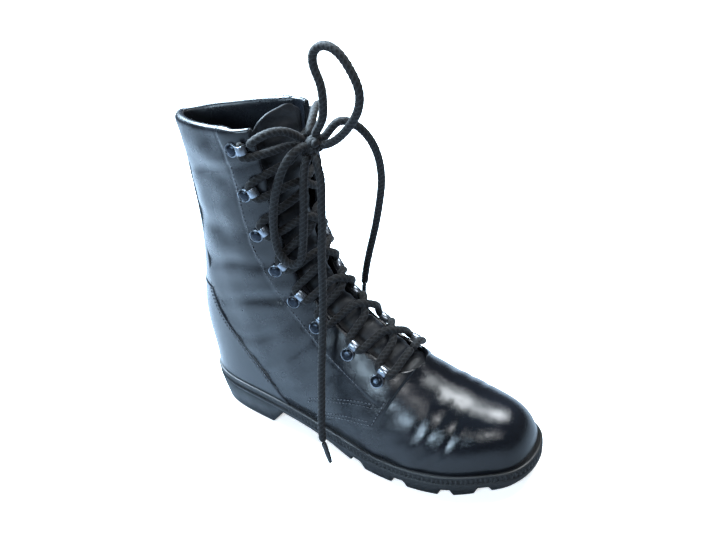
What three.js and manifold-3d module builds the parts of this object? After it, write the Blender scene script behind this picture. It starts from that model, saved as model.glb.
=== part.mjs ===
// Combat boot for the right foot: a ten-inch laced leather boot on a moulded rubber sole.
// Millimetres. +X runs from heel to toe, +Y to the inner (medial) side, +Z up.
// The boot is drawn with the back of its heel at x = 0. At the end it is moved so that the
// origin lies on the floor below the middle of the boot, measured without its loose laces.

import * as THREE from 'three';
import { mergeVertices } from 'three/addons/utils/BufferGeometryUtils.js';
import Module from 'manifold-3d';

const wasm = await Module();
wasm.setup();

// ---------------------------------------------------------------- driving dimensions

const LATERAL = -1;
const MEDIAL = 1;
const GAP = 0.3;                 // free space between pieces that meet
const WALL = 2.2;                // leather of the upper
const PADDING = 3.2;             // what the collar band adds to it inside
const OVERLAY = 1.5;             // leather of the back stay and heel counter
const TONGUE = 2.5;              // leather of the tongue
const INSOLE = 3;
const RAND = 3.5;                // how far the sole stands out past the upper
const LIP = 10;                  // height of the band round the top of the sole
const TAPER = 3;                 // how far the sole is drawn in below that band
const TREAD = 5;                 // depth of the tread
const HEEL_FRONT = 72;           // front of the heel on the floor
const HEEL_SLOPE = 14;           // how far the heel's front face leans forward
const LACE = 4.8;                // diameter of the round lace

// Sections through the last and shaft, from under the toe to above the collar. Each is a closed
// ring in a plane across the boot. front and back are where the ring meets the side outline,
// centre is its ridge line, outer and inner are its half widths to either side, widest is how
// far along from front to back it is widest, fullFront and fullBack say how full its ends are
// (2 is round, 3 is boxy), throat is the half width of the lace opening, and sink is how far
// the tongue lies below its edges.
const SECTIONS = table(
  ['frontX', 'frontZ', 'backX', 'backZ', 'centre', 'outer', 'inner',
    'widest', 'fullFront', 'fullBack', 'throat', 'sink'],
  [
    [284.5, 8, 249, -25, 7, 26, 26, 0.60, 2.2, 2.2, 18, 0],     // under the toe
    [285.0, 24, 247, -25, 7, 28, 28, 0.60, 2.2, 2.2, 18, 0],    // toe tip at the sole
    [283.5, 38, 245, -25, 7, 31, 30, 0.60, 2.2, 2.2, 18, 0],    // front of the toe box
    [276.0, 50, 241, -25, 7, 35, 33, 0.60, 2.2, 2.3, 18, 0],    // toe box shoulder
    [262.0, 57, 234, -25, 6, 41, 38, 0.60, 2.2, 2.4, 18, 0],    // top of the toe box
    [243.0, 60, 221, -25, 5, 47, 43, 0.60, 2.2, 2.5, 18, 0],    // behind the toe box
    [224.0, 66, 199, -25, 4, 50, 45, 0.58, 2.1, 2.6, 18, 0],    // ball
    [205.0, 77, 168, -25, 3, 50, 41, 0.56, 2.0, 2.6, 19, 0],    // foot of the throat
    [187.0, 91, 130, -25, 2, 46, 34, 0.54, 2.0, 2.6, 20, 0],    // low instep
    [168.0, 106, 85, -25, 1, 41, 31, 0.53, 2.0, 2.8, 20, 1],    // instep
    [152.0, 122, 40, -25, 0, 38, 31, 0.52, 2.0, 3.0, 19, 2],    // high instep
    [139.0, 138, 5, -12, -1, 35, 32, 0.52, 2.0, 3.2, 18, 3],    // ankle front to under the heel
    [129.0, 157, 2, 38, -1, 33, 32, 0.48, 2.0, 3.0, 20, 4],     // ankle to foot of the heel curve
    [123.0, 180, 0, 84, -1, 33, 32, 0.45, 2.1, 2.6, 22, 5],     // ankle to heel curve
    [120.0, 205, 9, 136, 0, 33, 33, 0.40, 2.2, 2.2, 24, 6],     // low shaft
    [119.0, 232, 12, 194, 0, 33, 34, 0.33, 2.2, 1.85, 26, 7],    // shaft
    [118.0, 261, 7, 253, 0, 33, 35, 0.27, 2.2, 1.6, 28, 8],     // collar
    [118.0, 286, 1, 280, 0, 33, 35, 0.26, 2.2, 1.6, 28, 8],     // above the collar
  ],
);
const THROAT_FOOT = 7.2;         // section number where the lace opening starts
const THROAT_ROUND = 0.8;        // and over how many sections its foot is round
const COLLAR = 16;               // section number of the collar
const BAND_FOOT = 14.85;         // section number where the collar band starts
const FACING = [1.4, 1.7];       // angles from the ridge over which the padding begins
const TONGUE_FOOT = 6.7;         // section number of the tongue's sewn end
const TONGUE_TOP = 16.2;         // and of its free end
const TONGUE_LAP = 6;            // how far the tongue runs under each edge of the opening

// Side outline of the sole: its top edge, and its underside in front of the heel.
const SOLE_TOP = table(['x', 'z'], [
  [-10, 34], [40, 34], [80, 32.5], [120, 28], [160, 24], [200, 21.5], [235, 21.5], [265, 23.5],
  [295, 27.5],
]);
const SOLE_UNDER = table(['x', 'z'], [
  [86, 17], [110, 14], [135, 8.5], [158, 2], [172, 0], [200, 0], [232, 0], [250, 2], [270, 6],
  [295, 13],
]);
const GROOVES = table(['x', 'mouth'], [[164, 12], [202, 11], [237, 9], [261, 9]]);

// Where the eight lace eyelets of each side stand, in the side view, from the collar down.
const EYELETS = table(['x', 'z'], [
  [91, 248], [92.5, 215], [94, 183], [102, 154], [112, 128], [129, 109], [155, 92], [180, 77],
]);

// Front edges of the back stay and of the heel counter, in the side view.
const STAY_EDGE = table(['x', 'z'], [[16, 226], [25, 200], [31, 165], [32, 124]]);
const COUNTER_EDGE = table(['x', 'z'], [[33, 123], [37, 106], [48, 87], [66, 66], [84, 47], [104, 24]]);

// ---------------------------------------------------------------- helpers

function table(columns, rows) {
  return rows.map((row) => Object.fromEntries(columns.map((name, i) => [name, row[i]])));
}

// A natural cubic spline through the points (xs, ys), straight beyond its ends.
function spline(xs, ys) {
  const count = xs.length;
  const bend = new Array(count).fill(0);
  const work = new Array(count).fill(0);
  for (let i = 1; i < count - 1; i++) {
    const share = (xs[i] - xs[i - 1]) / (xs[i + 1] - xs[i - 1]);
    const pivot = share * bend[i - 1] + 2;
    bend[i] = (share - 1) / pivot;
    const turn = (ys[i + 1] - ys[i]) / (xs[i + 1] - xs[i]) - (ys[i] - ys[i - 1]) / (xs[i] - xs[i - 1]);
    work[i] = (6 * turn / (xs[i + 1] - xs[i - 1]) - share * work[i - 1]) / pivot;
  }
  bend[count - 1] = 0;
  for (let i = count - 2; i >= 0; i--) bend[i] = bend[i] * bend[i + 1] + work[i];
  bend[0] = 0;
  const slope = (i, end) => {
    const step = xs[i + 1] - xs[i];
    const pull = end ? bend[i] + 2 * bend[i + 1] : -(2 * bend[i] + bend[i + 1]);
    return (ys[i + 1] - ys[i]) / step + step * pull / 6;
  };
  return (x) => {
    if (x <= xs[0]) return ys[0] + slope(0, false) * (x - xs[0]);
    if (x >= xs[count - 1]) return ys[count - 1] + slope(count - 2, true) * (x - xs[count - 1]);
    let i = 0;
    while (x > xs[i + 1]) i++;
    const step = xs[i + 1] - xs[i];
    const a = (xs[i + 1] - x) / step;
    const b = 1 - a;
    return a * ys[i] + b * ys[i + 1] + ((a ** 3 - a) * bend[i] + (b ** 3 - b) * bend[i + 1]) * step ** 2 / 6;
  };
}

function columnSpline(rows, key, value) {
  return spline(rows.map((row, i) => (key ? row[key] : i)), rows.map((row) => row[value]));
}

function smooth(low, high, x) {
  return THREE.MathUtils.smoothstep(x, low, high);
}

// Finds where a rising function of one number passes zero.
function solve(low, high, f) {
  for (let step = 0; step < 40; step++) {
    const middle = (low + high) / 2;
    if (f(middle) > 0) high = middle;
    else low = middle;
  }
  return (low + high) / 2;
}

function toSolid(geometry) {
  const bare = geometry.index ? geometry.toNonIndexed() : geometry.clone();
  bare.deleteAttribute('normal');
  bare.deleteAttribute('uv');
  const merged = mergeVertices(bare, 1e-4);
  const vertProperties = new Float32Array(merged.attributes.position.array);
  const triVerts = new Uint32Array(merged.index.array);
  return new wasm.Manifold(new wasm.Mesh({ numProp: 3, vertProperties, triVerts }));
}

function toGeometry(solid) {
  const mesh = solid.getMesh();
  const geometry = new THREE.BufferGeometry();
  geometry.setAttribute('position', new THREE.BufferAttribute(new Float32Array(mesh.vertProperties), 3));
  geometry.setIndex(new THREE.BufferAttribute(new Uint32Array(mesh.triVerts), 1));
  geometry.computeVertexNormals();
  return geometry;
}

// Joins rings of points, in order, into one closed body with flat ends.
function skin(rings) {
  const around = rings[0].length;
  const points = rings.flat();
  const faces = [];
  for (let r = 0; r < rings.length - 1; r++) {
    for (let i = 0; i < around; i++) {
      const a = r * around + i;
      const b = r * around + (i + 1) % around;
      faces.push(a, b, b + around, a, b + around, a + around);
    }
  }
  const middle = (ring) => ring.reduce((sum, p) => sum.add(p), new THREE.Vector3()).divideScalar(around);
  points.push(middle(rings[0]), middle(rings[rings.length - 1]));
  const last = (rings.length - 1) * around;
  for (let i = 0; i < around; i++) {
    const next = (i + 1) % around;
    faces.push(points.length - 2, next, i, points.length - 1, last + i, last + next);
  }
  const geometry = new THREE.BufferGeometry();
  geometry.setFromPoints(points);
  geometry.setIndex(faces);
  return geometry;
}

// ---------------------------------------------------------------- the form of the last and shaft

const COLUMN = Object.fromEntries(
  Object.keys(SECTIONS[0]).map((name) => [name, columnSpline(SECTIONS, null, name)]),
);
const LAST_SECTION = SECTIONS.length - 1;

// The point on ring s at an angle from the ridge: positive to the inner side, negative outside.
function ringPoint(s, angle) {
  const end = Math.cos(angle) > 0 ? 'fullFront' : 'fullBack';
  const full = COLUMN[end](s);
  const across = Math.abs(Math.sin(angle));
  const down = Math.abs(Math.cos(angle));
  const reach = (across ** full + down ** full) ** (1 / full);
  const widest = COLUMN.widest(s);
  const along = end === 'fullFront' ? widest * (1 - down / reach) : widest + (1 - widest) * down / reach;
  const half = angle < 0 ? -COLUMN.outer(s) : COLUMN.inner(s);
  return new THREE.Vector3(
    THREE.MathUtils.lerp(COLUMN.frontX(s), COLUMN.backX(s), along),
    COLUMN.centre(s) + half * across / reach,
    THREE.MathUtils.lerp(COLUMN.frontZ(s), COLUMN.backZ(s), along),
  );
}

function ringNormal(s, angle) {
  const step = 1e-3;
  const alongSections = ringPoint(s + step, angle).sub(ringPoint(s - step, angle));
  const alongRing = ringPoint(s, angle + step).sub(ringPoint(s, angle - step));
  return alongRing.cross(alongSections).normalize();
}

function onForm(s, angle, offset) {
  return ringPoint(s, angle).addScaledVector(ringNormal(s, angle), offset);
}

// The ring through a point of the side view, and the angle on it.
function locate(x, z, side) {
  const s = solve(0, LAST_SECTION, (t) => {
    const fx = COLUMN.frontX(t);
    const fz = COLUMN.frontZ(t);
    return (COLUMN.backZ(t) - fz) * (x - fx) - (COLUMN.backX(t) - fx) * (z - fz) > 0 ? -1 : 1;
  });
  const dx = COLUMN.backX(s) - COLUMN.frontX(s);
  const dz = COLUMN.backZ(s) - COLUMN.frontZ(s);
  const along = ((x - COLUMN.frontX(s)) * dx + (z - COLUMN.frontZ(s)) * dz) / (dx * dx + dz * dz);
  const widest = COLUMN.widest(s);
  const front = along < widest;
  const full = front ? COLUMN.fullFront(s) : COLUMN.fullBack(s);
  const down = THREE.MathUtils.clamp(front ? 1 - along / widest : (along - widest) / (1 - widest), 0, 1);
  const across = (1 - down ** full) ** (1 / full);
  return { s, angle: side * Math.atan2(across, front ? down : -down), inside: along > 0 && along < 1 };
}

// The angle on ring s at which the form is a given distance to the side of its ridge.
function angleAt(s, distance, side) {
  return side * solve(0, Math.PI / 2, (t) => Math.abs(ringPoint(s, side * t).y - COLUMN.centre(s)) - distance);
}

const SECTION_STEPS = 46;
const AROUND = 26;

// A closed body a given offset outside the form. The offset may change along and round it.
function form(offset) {
  const rings = [];
  for (let i = 0; i <= SECTION_STEPS; i++) {
    const s = LAST_SECTION * i / SECTION_STEPS;
    const ring = [];
    for (let j = 0; j < AROUND; j++) {
      const angle = -Math.PI + 2 * Math.PI * j / AROUND;
      ring.push(onForm(s, angle, offset(s, angle)));
    }
    rings.push(ring);
  }
  return toSolid(skin(rings));
}

// A slab across the boot with an outline given in the side view.
function sideSlab(points) {
  const halfDepth = 80;
  const shape = new THREE.Shape(points.map(([x, z]) => new THREE.Vector2(x, z)));
  const geometry = new THREE.ExtrudeGeometry(shape, { depth: 2 * halfDepth, bevelEnabled: false });
  geometry.rotateX(Math.PI / 2);
  geometry.translate(0, halfDepth, 0);
  return toSolid(geometry);
}

// ---------------------------------------------------------------- sole and insole

const soleTop = columnSpline(SOLE_TOP, 'x', 'z');
const soleArch = columnSpline(SOLE_UNDER, 'x', 'z');

function soleUnder(x) {
  if (x <= HEEL_FRONT) return 0;
  const breastTop = HEEL_FRONT + HEEL_SLOPE;
  if (x < breastTop) return soleArch(breastTop) * (x - HEEL_FRONT) / HEEL_SLOPE;
  const flat = x > SOLE_UNDER[4].x && x < SOLE_UNDER[6].x;
  return flat ? 0 : Math.max(0, soleArch(x));
}

// The line where the upper stands on the sole: from the heel round the outer side to the toe,
// and back along the inner side.
const OUTLINE_STEPS = 36;
const OUTLINE = (() => {
  const inside = (x) => locate(x, soleTop(x), LATERAL).inside;
  const back = solve(-15, 40, (x) => (inside(x) ? 1 : -1));
  const front = solve(250, 310, (x) => (inside(x) ? -1 : 1));
  const stations = [];
  for (let i = 1; i < OUTLINE_STEPS; i++) {
    stations.push(back + (front - back) * (1 - Math.cos(Math.PI * i / OUTLINE_STEPS)) / 2);
  }
  const edge = (x, side) => {
    const place = locate(x, soleTop(x), side);
    return new THREE.Vector2(x, ringPoint(place.s, place.angle).y);
  };
  const outer = stations.map((x) => edge(x, LATERAL));
  const inner = stations.map((x) => edge(x, MEDIAL));
  const tip = (x, near) => new THREE.Vector2(x, (outer[near].y + inner[near].y) / 2);
  return [tip(back, 0), ...outer, tip(front, outer.length - 1), ...inner.reverse()];
})();

// That line moved outwards, in plan.
function outlineAt(distance) {
  const count = OUTLINE.length;
  return OUTLINE.map((point, i) => {
    const run = OUTLINE[(i + 1) % count].clone().sub(OUTLINE[(i + count - 1) % count]).normalize();
    return new THREE.Vector2(point.x + distance * run.y, point.y - distance * run.x);
  });
}

// A closed body between levels, each an outline in plan and a height for each x. Both its
// faces are strips of planks laid across from the outer to the inner side.
function planks(levels) {
  const count = levels[0].outline.length;
  const half = count / 2;
  const points = levels.flatMap((level) => level.outline.map((p) => new THREE.Vector3(p.x, p.y, level.height(p.x))));
  const faces = [];
  for (let level = 0; level < levels.length - 1; level++) {
    for (let i = 0; i < count; i++) {
      const a = level * count + i;
      const b = level * count + (i + 1) % count;
      faces.push(a, b, b + count, a, b + count, a + count);
    }
  }
  const cap = (base, up) => {
    const face = (a, b, c) => (up ? faces.push(base + a, base + b, base + c) : faces.push(base + a, base + c, base + b));
    face(0, 1, count - 1);
    face(half, count - half + 1, half - 1);
    for (let i = 1; i < half - 1; i++) {
      face(i, i + 1, count - i);
      face(i + 1, count - i - 1, count - i);
    }
  };
  cap(0, false);
  cap((levels.length - 1) * count, true);
  const geometry = new THREE.BufferGeometry();
  geometry.setFromPoints(points);
  geometry.setIndex(faces);
  return toSolid(geometry);
}

function makeSole() {
  const full = outlineAt(RAND);
  let sole = planks([
    { outline: outlineAt(RAND - TAPER), height: soleUnder },
    { outline: full, height: (x) => soleTop(x) - LIP },
    { outline: full, height: soleTop },
  ]);
  for (const groove of GROOVES) {
    const root = soleUnder(groove.x) + TREAD;
    const mouth = groove.mouth / 2;
    sole = sole.subtract(sideSlab([
      [groove.x - mouth - 1, -5], [groove.x + mouth + 1, -5], [groove.x + mouth / 2, root], [groove.x - mouth / 2, root],
    ]));
  }
  return sole;
}

function makeInsole() {
  const outline = outlineAt(-WALL - 4 * GAP);
  return planks([
    { outline, height: (x) => soleTop(x) + GAP },
    { outline, height: (x) => soleTop(x) + GAP + INSOLE },
  ]);
}

// ---------------------------------------------------------------- upper, counter and tongue

const COLLAR_LINE = (x) => {
  const share = (x - COLUMN.backX(COLLAR)) / (COLUMN.frontX(COLLAR) - COLUMN.backX(COLLAR));
  return THREE.MathUtils.lerp(COLUMN.backZ(COLLAR), COLUMN.frontZ(COLLAR), share);
};

function throatHalf(s) {
  const start = THREE.MathUtils.clamp((s - THROAT_FOOT) / THROAT_ROUND, 0, 1);
  return COLUMN.throat(s) * Math.sqrt(1 - (1 - start) ** 2);
}

// A body that follows the form between two offsets, within a half width of the ridge.
function ridgeStrip(from, to, steps, half, outside, inside) {
  const across = 8;
  const rings = [];
  for (let i = 0; i <= steps; i++) {
    const s = THREE.MathUtils.lerp(from, to, i / steps);
    const left = angleAt(s, half(s), LATERAL);
    const right = angleAt(s, half(s), MEDIAL);
    const arc = (offset) => {
      const points = [];
      for (let j = 0; j <= across; j++) {
        const share = j / across;
        points.push(onForm(s, THREE.MathUtils.lerp(left, right, share), offset(s, 1 - (2 * share - 1) ** 2)));
      }
      return points;
    };
    rings.push([...arc(outside), ...arc(inside).reverse()]);
  }
  return toSolid(skin(rings));
}

function makeUpper() {
  const padded = (s, angle) => PADDING * smooth(BAND_FOOT, BAND_FOOT + 0.3, s) * smooth(...FACING, Math.abs(angle));
  const shell = form(() => 0).subtract(form((s, angle) => -WALL - padded(s, angle)));
  const floor = [];
  for (let x = 310; x >= -30; x -= 10) floor.push([x, soleTop(x) + GAP]);
  const body = shell.intersect(sideSlab([[-30, COLLAR_LINE(-30)], ...floor.reverse(), [310, COLLAR_LINE(310)]]));
  const opening = ridgeStrip(
    THROAT_FOOT + 0.001, LAST_SECTION, 40, throatHalf, () => 6, () => -12,
  );
  return body.subtract(opening);
}

function makeTongue() {
  const lap = (s) => throatHalf(Math.max(s, THROAT_FOOT + THROAT_ROUND)) + TONGUE_LAP;
  const half = (s) => Math.min(lap(s), COLUMN.outer(s) - WALL);
  const top = (s, middle) => -WALL - 2 * GAP - COLUMN.sink(s) * middle;
  return ridgeStrip(TONGUE_FOOT, TONGUE_TOP, 24, half, top, (s, middle) => top(s, middle) - TONGUE);
}

function makeCounter() {
  const skinned = form(() => GAP + OVERLAY).subtract(form(() => GAP));
  const top = COUNTER_EDGE[0].z - GAP;
  const floor = [];
  for (let x = 106; x >= -30; x -= 10) floor.push([x, soleTop(x) + GAP]);
  const edge = COUNTER_EDGE.filter((row) => row.z > soleTop(row.x) + 1).map((row) => [row.x, row.z]);
  return skinned.intersect(sideSlab([[-30, top], ...floor.reverse(), ...edge.reverse(), [COUNTER_EDGE[0].x, top]]));
}

function makeStay() {
  const skinned = form(() => GAP + OVERLAY).subtract(form(() => GAP));
  const edge = STAY_EDGE.map((row) => [row.x, row.z]);
  const foot = STAY_EDGE[STAY_EDGE.length - 1].z;
  return skinned.intersect(sideSlab([[-30, foot], [STAY_EDGE[3].x, foot], ...edge.reverse(), [-30, STAY_EDGE[0].z]]));
}

// ---------------------------------------------------------------- eyelets

const PLATE = { length: 13.5, width: 6.5, thickness: 0.85 };
const BOW = { radius: 3.6, wall: 0.9, reach: 9 };          // the metal bow that holds the lace
const CAP = { radius: 4.9, shank: 2.4, foot: 0.6, under: 2.6, rim: 3.4, crown: 4.8 };

// One speed-lace eyelet, lying on the leather with its bow along +X.
function eyeletSolid() {
  const strip = (shape) => {
    const bar = new THREE.ExtrudeGeometry(shape, { depth: PLATE.width, bevelEnabled: false, curveSegments: 5 });
    bar.rotateX(Math.PI / 2);
    bar.translate(0, PLATE.width / 2, 0);
    return toSolid(bar);
  };
  const back = BOW.reach - PLATE.length;
  const top = GAP + PLATE.thickness;
  const plate = [[back, GAP], [BOW.reach, GAP], [BOW.reach, top], [back, top]];
  const ring = new THREE.Shape().absarc(BOW.reach, GAP + BOW.radius, BOW.radius, 0, 2 * Math.PI);
  ring.holes.push(new THREE.Path().absarc(BOW.reach, GAP + BOW.radius, BOW.radius - BOW.wall, 0, 2 * Math.PI));
  const profile = [
    [0, CAP.foot], [CAP.shank, CAP.foot], [CAP.shank, CAP.under], [CAP.radius, CAP.rim], [0, CAP.crown],
  ];
  const cap = new THREE.LatheGeometry(profile.map(([x, y]) => new THREE.Vector2(x, y)), 10);
  cap.rotateX(Math.PI / 2);
  return strip(new THREE.Shape(plate.map(([x, y]) => new THREE.Vector2(x, y))))
    .add(strip(ring)).add(toSolid(cap));
}

// Where an eyelet stands: its ring of the form, and a frame with X to the ridge and Z outwards.
// Its place is given for the outer side. On the inner side it is as far from the opening.
function eyeletPlace(row, side) {
  const { s, angle: outerAngle } = locate(row.x, row.z, LATERAL);
  const edge = (to) => ringPoint(s, angleAt(s, throatHalf(s), to));
  const away = edge(LATERAL).distanceTo(ringPoint(s, outerAngle));
  const inner = edge(MEDIAL);
  const innerAngle = solve(angleAt(s, throatHalf(s), MEDIAL), Math.PI, (t) => inner.distanceTo(ringPoint(s, t)) - away);
  const angle = side === LATERAL ? outerAngle : innerAngle;
  const step = 1e-3;
  const origin = ringPoint(s, angle);
  const normal = ringNormal(s, angle);
  const inward = ringPoint(s, angle - side * step).sub(origin).normalize();
  const alongEdge = normal.clone().cross(inward).normalize();
  const frame = new THREE.Matrix4().makeBasis(alongEdge.clone().cross(normal), alongEdge, normal);
  return { s, frame: frame.setPosition(origin) };
}

// ---------------------------------------------------------------- lace

const ROUND = 8;                 // sides of a lace tube
const LACE_START = 5.5;          // where a crossing starts, inside the edge of the opening
const LACE_LIFT = 3.6;           // height of its start over the leather
const BAR_DROP = 0.15;           // how many sections the straight bar lies below the last pair

// A tube of lace along a smooth path.
function laceTube(points, steps) {
  const shape = new THREE.Shape();
  for (let i = 0; i < ROUND; i++) {
    const turn = 2 * Math.PI * i / ROUND;
    const point = [LACE / 2 * Math.cos(turn), LACE / 2 * Math.sin(turn)];
    if (i === 0) shape.moveTo(...point);
    else shape.lineTo(...point);
  }
  const path = new THREE.CatmullRomCurve3(points, false, 'centripetal');
  return toSolid(new THREE.ExtrudeGeometry(shape, { steps, extrudePath: path, bevelEnabled: false }));
}

// A stretch of lace over the tongue from one side to the other.
function laceBar(from, to, fromSide) {
  const points = [];
  const steps = 6;
  for (let i = 0; i <= steps; i++) {
    const share = i / steps;
    const s = THREE.MathUtils.lerp(from, to, share);
    const across = fromSide * (1 - 2 * share);
    const angle = angleAt(s, Math.abs(across) * (throatHalf(s) - LACE_START), Math.sign(across) || 1);
    const low = GAP + 0.2 - COLUMN.sink(s);
    points.push(onForm(s, angle, THREE.MathUtils.lerp(LACE_LIFT, low, Math.sin(Math.PI * share))));
  }
  return laceTube(points, steps);
}

// Routes of the lace outside its eyelets. Each is named, with its points in order.
const KNOT = { x: 130, y: 2, z: 241, size: [8, 9, 9] };
const CORDS = {
  lace_run_outer: [[106, -35, 252], [111, -31, 256], [117, -22, 258], [121, -12, 255], [123, -4, 249]],
  lace_run_inner: [[107, 38.5, 254], [112, 34, 257], [117, 25, 258], [122, 15, 255], [124.5, 7, 249.5]],
  bow_loop_up: [
    [134, 2, 251], [141, 1, 260], [145, 0, 272], [145, 0, 285], [142, 0, 295], [143, 0, 304], [151, 0, 309],
    [161, 0, 306], [169, 0, 296], [174, 0, 283], [171, 1, 270], [161, 2, 257], [148, 3, 247], [140, 3, 244],
  ],
  bow_loop_down: [
    [129, -8, 244], [128, -17, 243], [124, -25, 235], [119, -30, 221], [114, -32, 203], [111, -32, 184],
    [112, -31, 169], [118, -29, 161], [125, -27, 165], [129, -24, 180], [131, -21, 198], [131, -17, 214],
    [130, -12, 227], [130, -8, 234],
  ],
  lace_end_inner: [
    [138, 6, 247], [146, 11, 256], [154, 18, 253], [159, 26, 241], [160, 33, 224], [157, 38, 204],
    [151, 41, 184], [144, 42, 162], [137, 42, 142], [131, 41, 122], [128, 40, 108],
  ],
  lace_end_outer: [
    [136, -5, 235], [141, -9, 225], [143, -14, 210], [144, -19, 192], [144, -24, 173], [144, -28, 152],
    [144, -33, 130], [144, -39, 108], [144, -46, 84], [145, -53, 60], [146, -59, 40], [147.5, -61, 32],
  ],
};
const CORD_STEPS = {
  lace_run_outer: 4, lace_run_inner: 4, bow_loop_up: 16, bow_loop_down: 15, lace_end_inner: 13, lace_end_outer: 14,
};
const AGLETS = {
  aglet_inner: [[127.9, 40, 107.6], [125, 39.5, 88]],
  aglet_outer: [[147.7, -61.1, 31.2], [152, -62, 13]],
};
const AGLET_RADIUS = 1.8;

function knotSolid() {
  const ball = new THREE.SphereGeometry(1, 12, 8);
  ball.scale(...KNOT.size);
  ball.translate(KNOT.x, KNOT.y, KNOT.z);
  return toSolid(ball);
}

function agletSolid([from, to]) {
  const start = new THREE.Vector3(...from);
  const run = new THREE.Vector3(...to).sub(start);
  const length = run.length();
  const tube = new THREE.CylinderGeometry(AGLET_RADIUS, AGLET_RADIUS, length, 10);
  tube.applyQuaternion(new THREE.Quaternion().setFromUnitVectors(new THREE.Vector3(0, 1, 0), run.normalize()));
  tube.translate(...start.addScaledVector(run, length / 2).toArray());
  return toSolid(tube);
}

// ---------------------------------------------------------------- assembly

function material(name, color, roughness, metalness) {
  const made = new THREE.MeshStandardMaterial({ color, roughness, metalness });
  made.name = name;
  return made;
}

const LEATHER = material('leather', 0x14161b, 0.28, 0);
const COUNTER_LEATHER = material('counter_leather', 0x101218, 0.22, 0);
const TONGUE_LEATHER = material('tongue_leather', 0x101013, 0.5, 0);
const RUBBER = material('rubber', 0x131316, 0.55, 0);
const INSOLE_CLOTH = material('insole_cloth', 0x2b2724, 0.9, 0);
const EYELET_METAL = material('eyelet_metal', 0x4a4f57, 0.3, 1);
const LACE_CORD = material('lace_cord', 0x0e0e10, 0.85, 0);
const AGLET_PLASTIC = material('aglet_plastic', 0x08080a, 0.3, 0);

const boot = new THREE.Group();

function add(name, solid, finish) {
  const mesh = new THREE.Mesh(toGeometry(solid), finish);
  mesh.name = name;
  boot.add(mesh);
  return mesh;
}

add('sole', makeSole(), RUBBER);
add('insole', makeInsole(), INSOLE_CLOTH);
add('upper', makeUpper(), LEATHER);
add('tongue', makeTongue(), TONGUE_LEATHER);
add('heel_counter', makeCounter(), COUNTER_LEATHER);
add('back_stay', makeStay(), LEATHER);

const eyelet = toGeometry(eyeletSolid());
const places = { outer: [], inner: [] };
for (const [label, side] of [['outer', LATERAL], ['inner', MEDIAL]]) {
  EYELETS.forEach((row, i) => {
    const place = eyeletPlace(row, side);
    places[label].push(place);
    const mesh = new THREE.Mesh(eyelet, EYELET_METAL);
    mesh.name = `eyelet_${label}_${i + 1}`;
    mesh.applyMatrix4(place.frame);
    boot.add(mesh);
  });
}

const rows = places.outer.map((place) => place.s);
const lowest = rows[rows.length - 1] - BAR_DROP;
let crossings = laceBar(lowest, lowest, LATERAL);
for (let i = 0; i < rows.length - 1; i++) {
  crossings = crossings.add(laceBar(rows[i], rows[i + 1], LATERAL)).add(laceBar(rows[i], rows[i + 1], MEDIAL));
}
add('lace_crossings', crossings, LACE_CORD);

const box = new THREE.Box3().setFromObject(boot);

for (const [name, route] of Object.entries(CORDS)) {
  add(name, laceTube(route.map((point) => new THREE.Vector3(...point)), CORD_STEPS[name]), LACE_CORD);
}
add('bow_knot', knotSolid(), LACE_CORD);
for (const [name, ends] of Object.entries(AGLETS)) add(name, agletSolid(ends), AGLET_PLASTIC);

boot.position.set(-(box.min.x + box.max.x) / 2, -(box.min.y + box.max.y) / 2, 0);

export default boot;
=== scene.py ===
"""Looks of a tall laced leather boot for the right foot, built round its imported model.

Sizes are in millimetres in the boot's drawn frame: +X from heel to toe with the back of the
heel at x = 0, +Y to the inner side, +Z up from the floor. Meshes are written in metres in the
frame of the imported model.
"""

import logging
import math
from dataclasses import dataclass, field
from enum import Enum
from typing import Callable, NamedTuple, Sequence

import bmesh
import bpy
import numpy as np
from mathutils import Matrix, Vector

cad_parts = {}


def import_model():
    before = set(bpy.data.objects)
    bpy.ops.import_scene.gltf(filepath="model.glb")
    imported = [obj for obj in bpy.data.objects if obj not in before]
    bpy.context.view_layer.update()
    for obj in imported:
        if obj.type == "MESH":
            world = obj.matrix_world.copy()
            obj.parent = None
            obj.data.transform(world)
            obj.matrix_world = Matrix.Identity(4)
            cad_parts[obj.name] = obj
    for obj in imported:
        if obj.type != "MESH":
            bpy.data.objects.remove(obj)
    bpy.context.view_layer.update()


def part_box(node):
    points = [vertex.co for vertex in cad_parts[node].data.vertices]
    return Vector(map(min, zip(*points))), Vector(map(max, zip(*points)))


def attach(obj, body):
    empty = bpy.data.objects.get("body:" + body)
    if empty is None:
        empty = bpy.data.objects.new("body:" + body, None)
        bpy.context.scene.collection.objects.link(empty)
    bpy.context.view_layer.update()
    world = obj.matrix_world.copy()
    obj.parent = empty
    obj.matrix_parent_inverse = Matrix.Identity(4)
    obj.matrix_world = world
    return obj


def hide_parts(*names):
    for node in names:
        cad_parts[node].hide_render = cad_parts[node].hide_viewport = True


LOG = logging.getLogger("boot")
MM = 0.001
Array = np.ndarray

GAP = 0.3  # between neighbouring pieces
WALL = 2.2  # thickness of the upper
PADDING = 3.2  # added inside the collar
OVERLAY = 1.5  # thickness of the counter and the back stay
TONGUE = 2.5  # thickness of the tongue
INSOLE = 3.0  # thickness of the insole
RAND = 3.5  # how far the sole's edge band stands out from the upper
LIP = 10.0  # height of the edge band
TAPER = 3.0  # how much further in the foot of the sole is than its band
TREAD = 5.0  # depth of the grooves
HEEL_FRONT = 72.0  # where the heel ends on the floor
HEEL_SLOPE = 14.0  # how far forward its slanted front runs
LACE = 5.8  # diameter of the lace
BRAID_PITCH = 3.6  # length of lace between one crossing of its strands and the next

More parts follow.
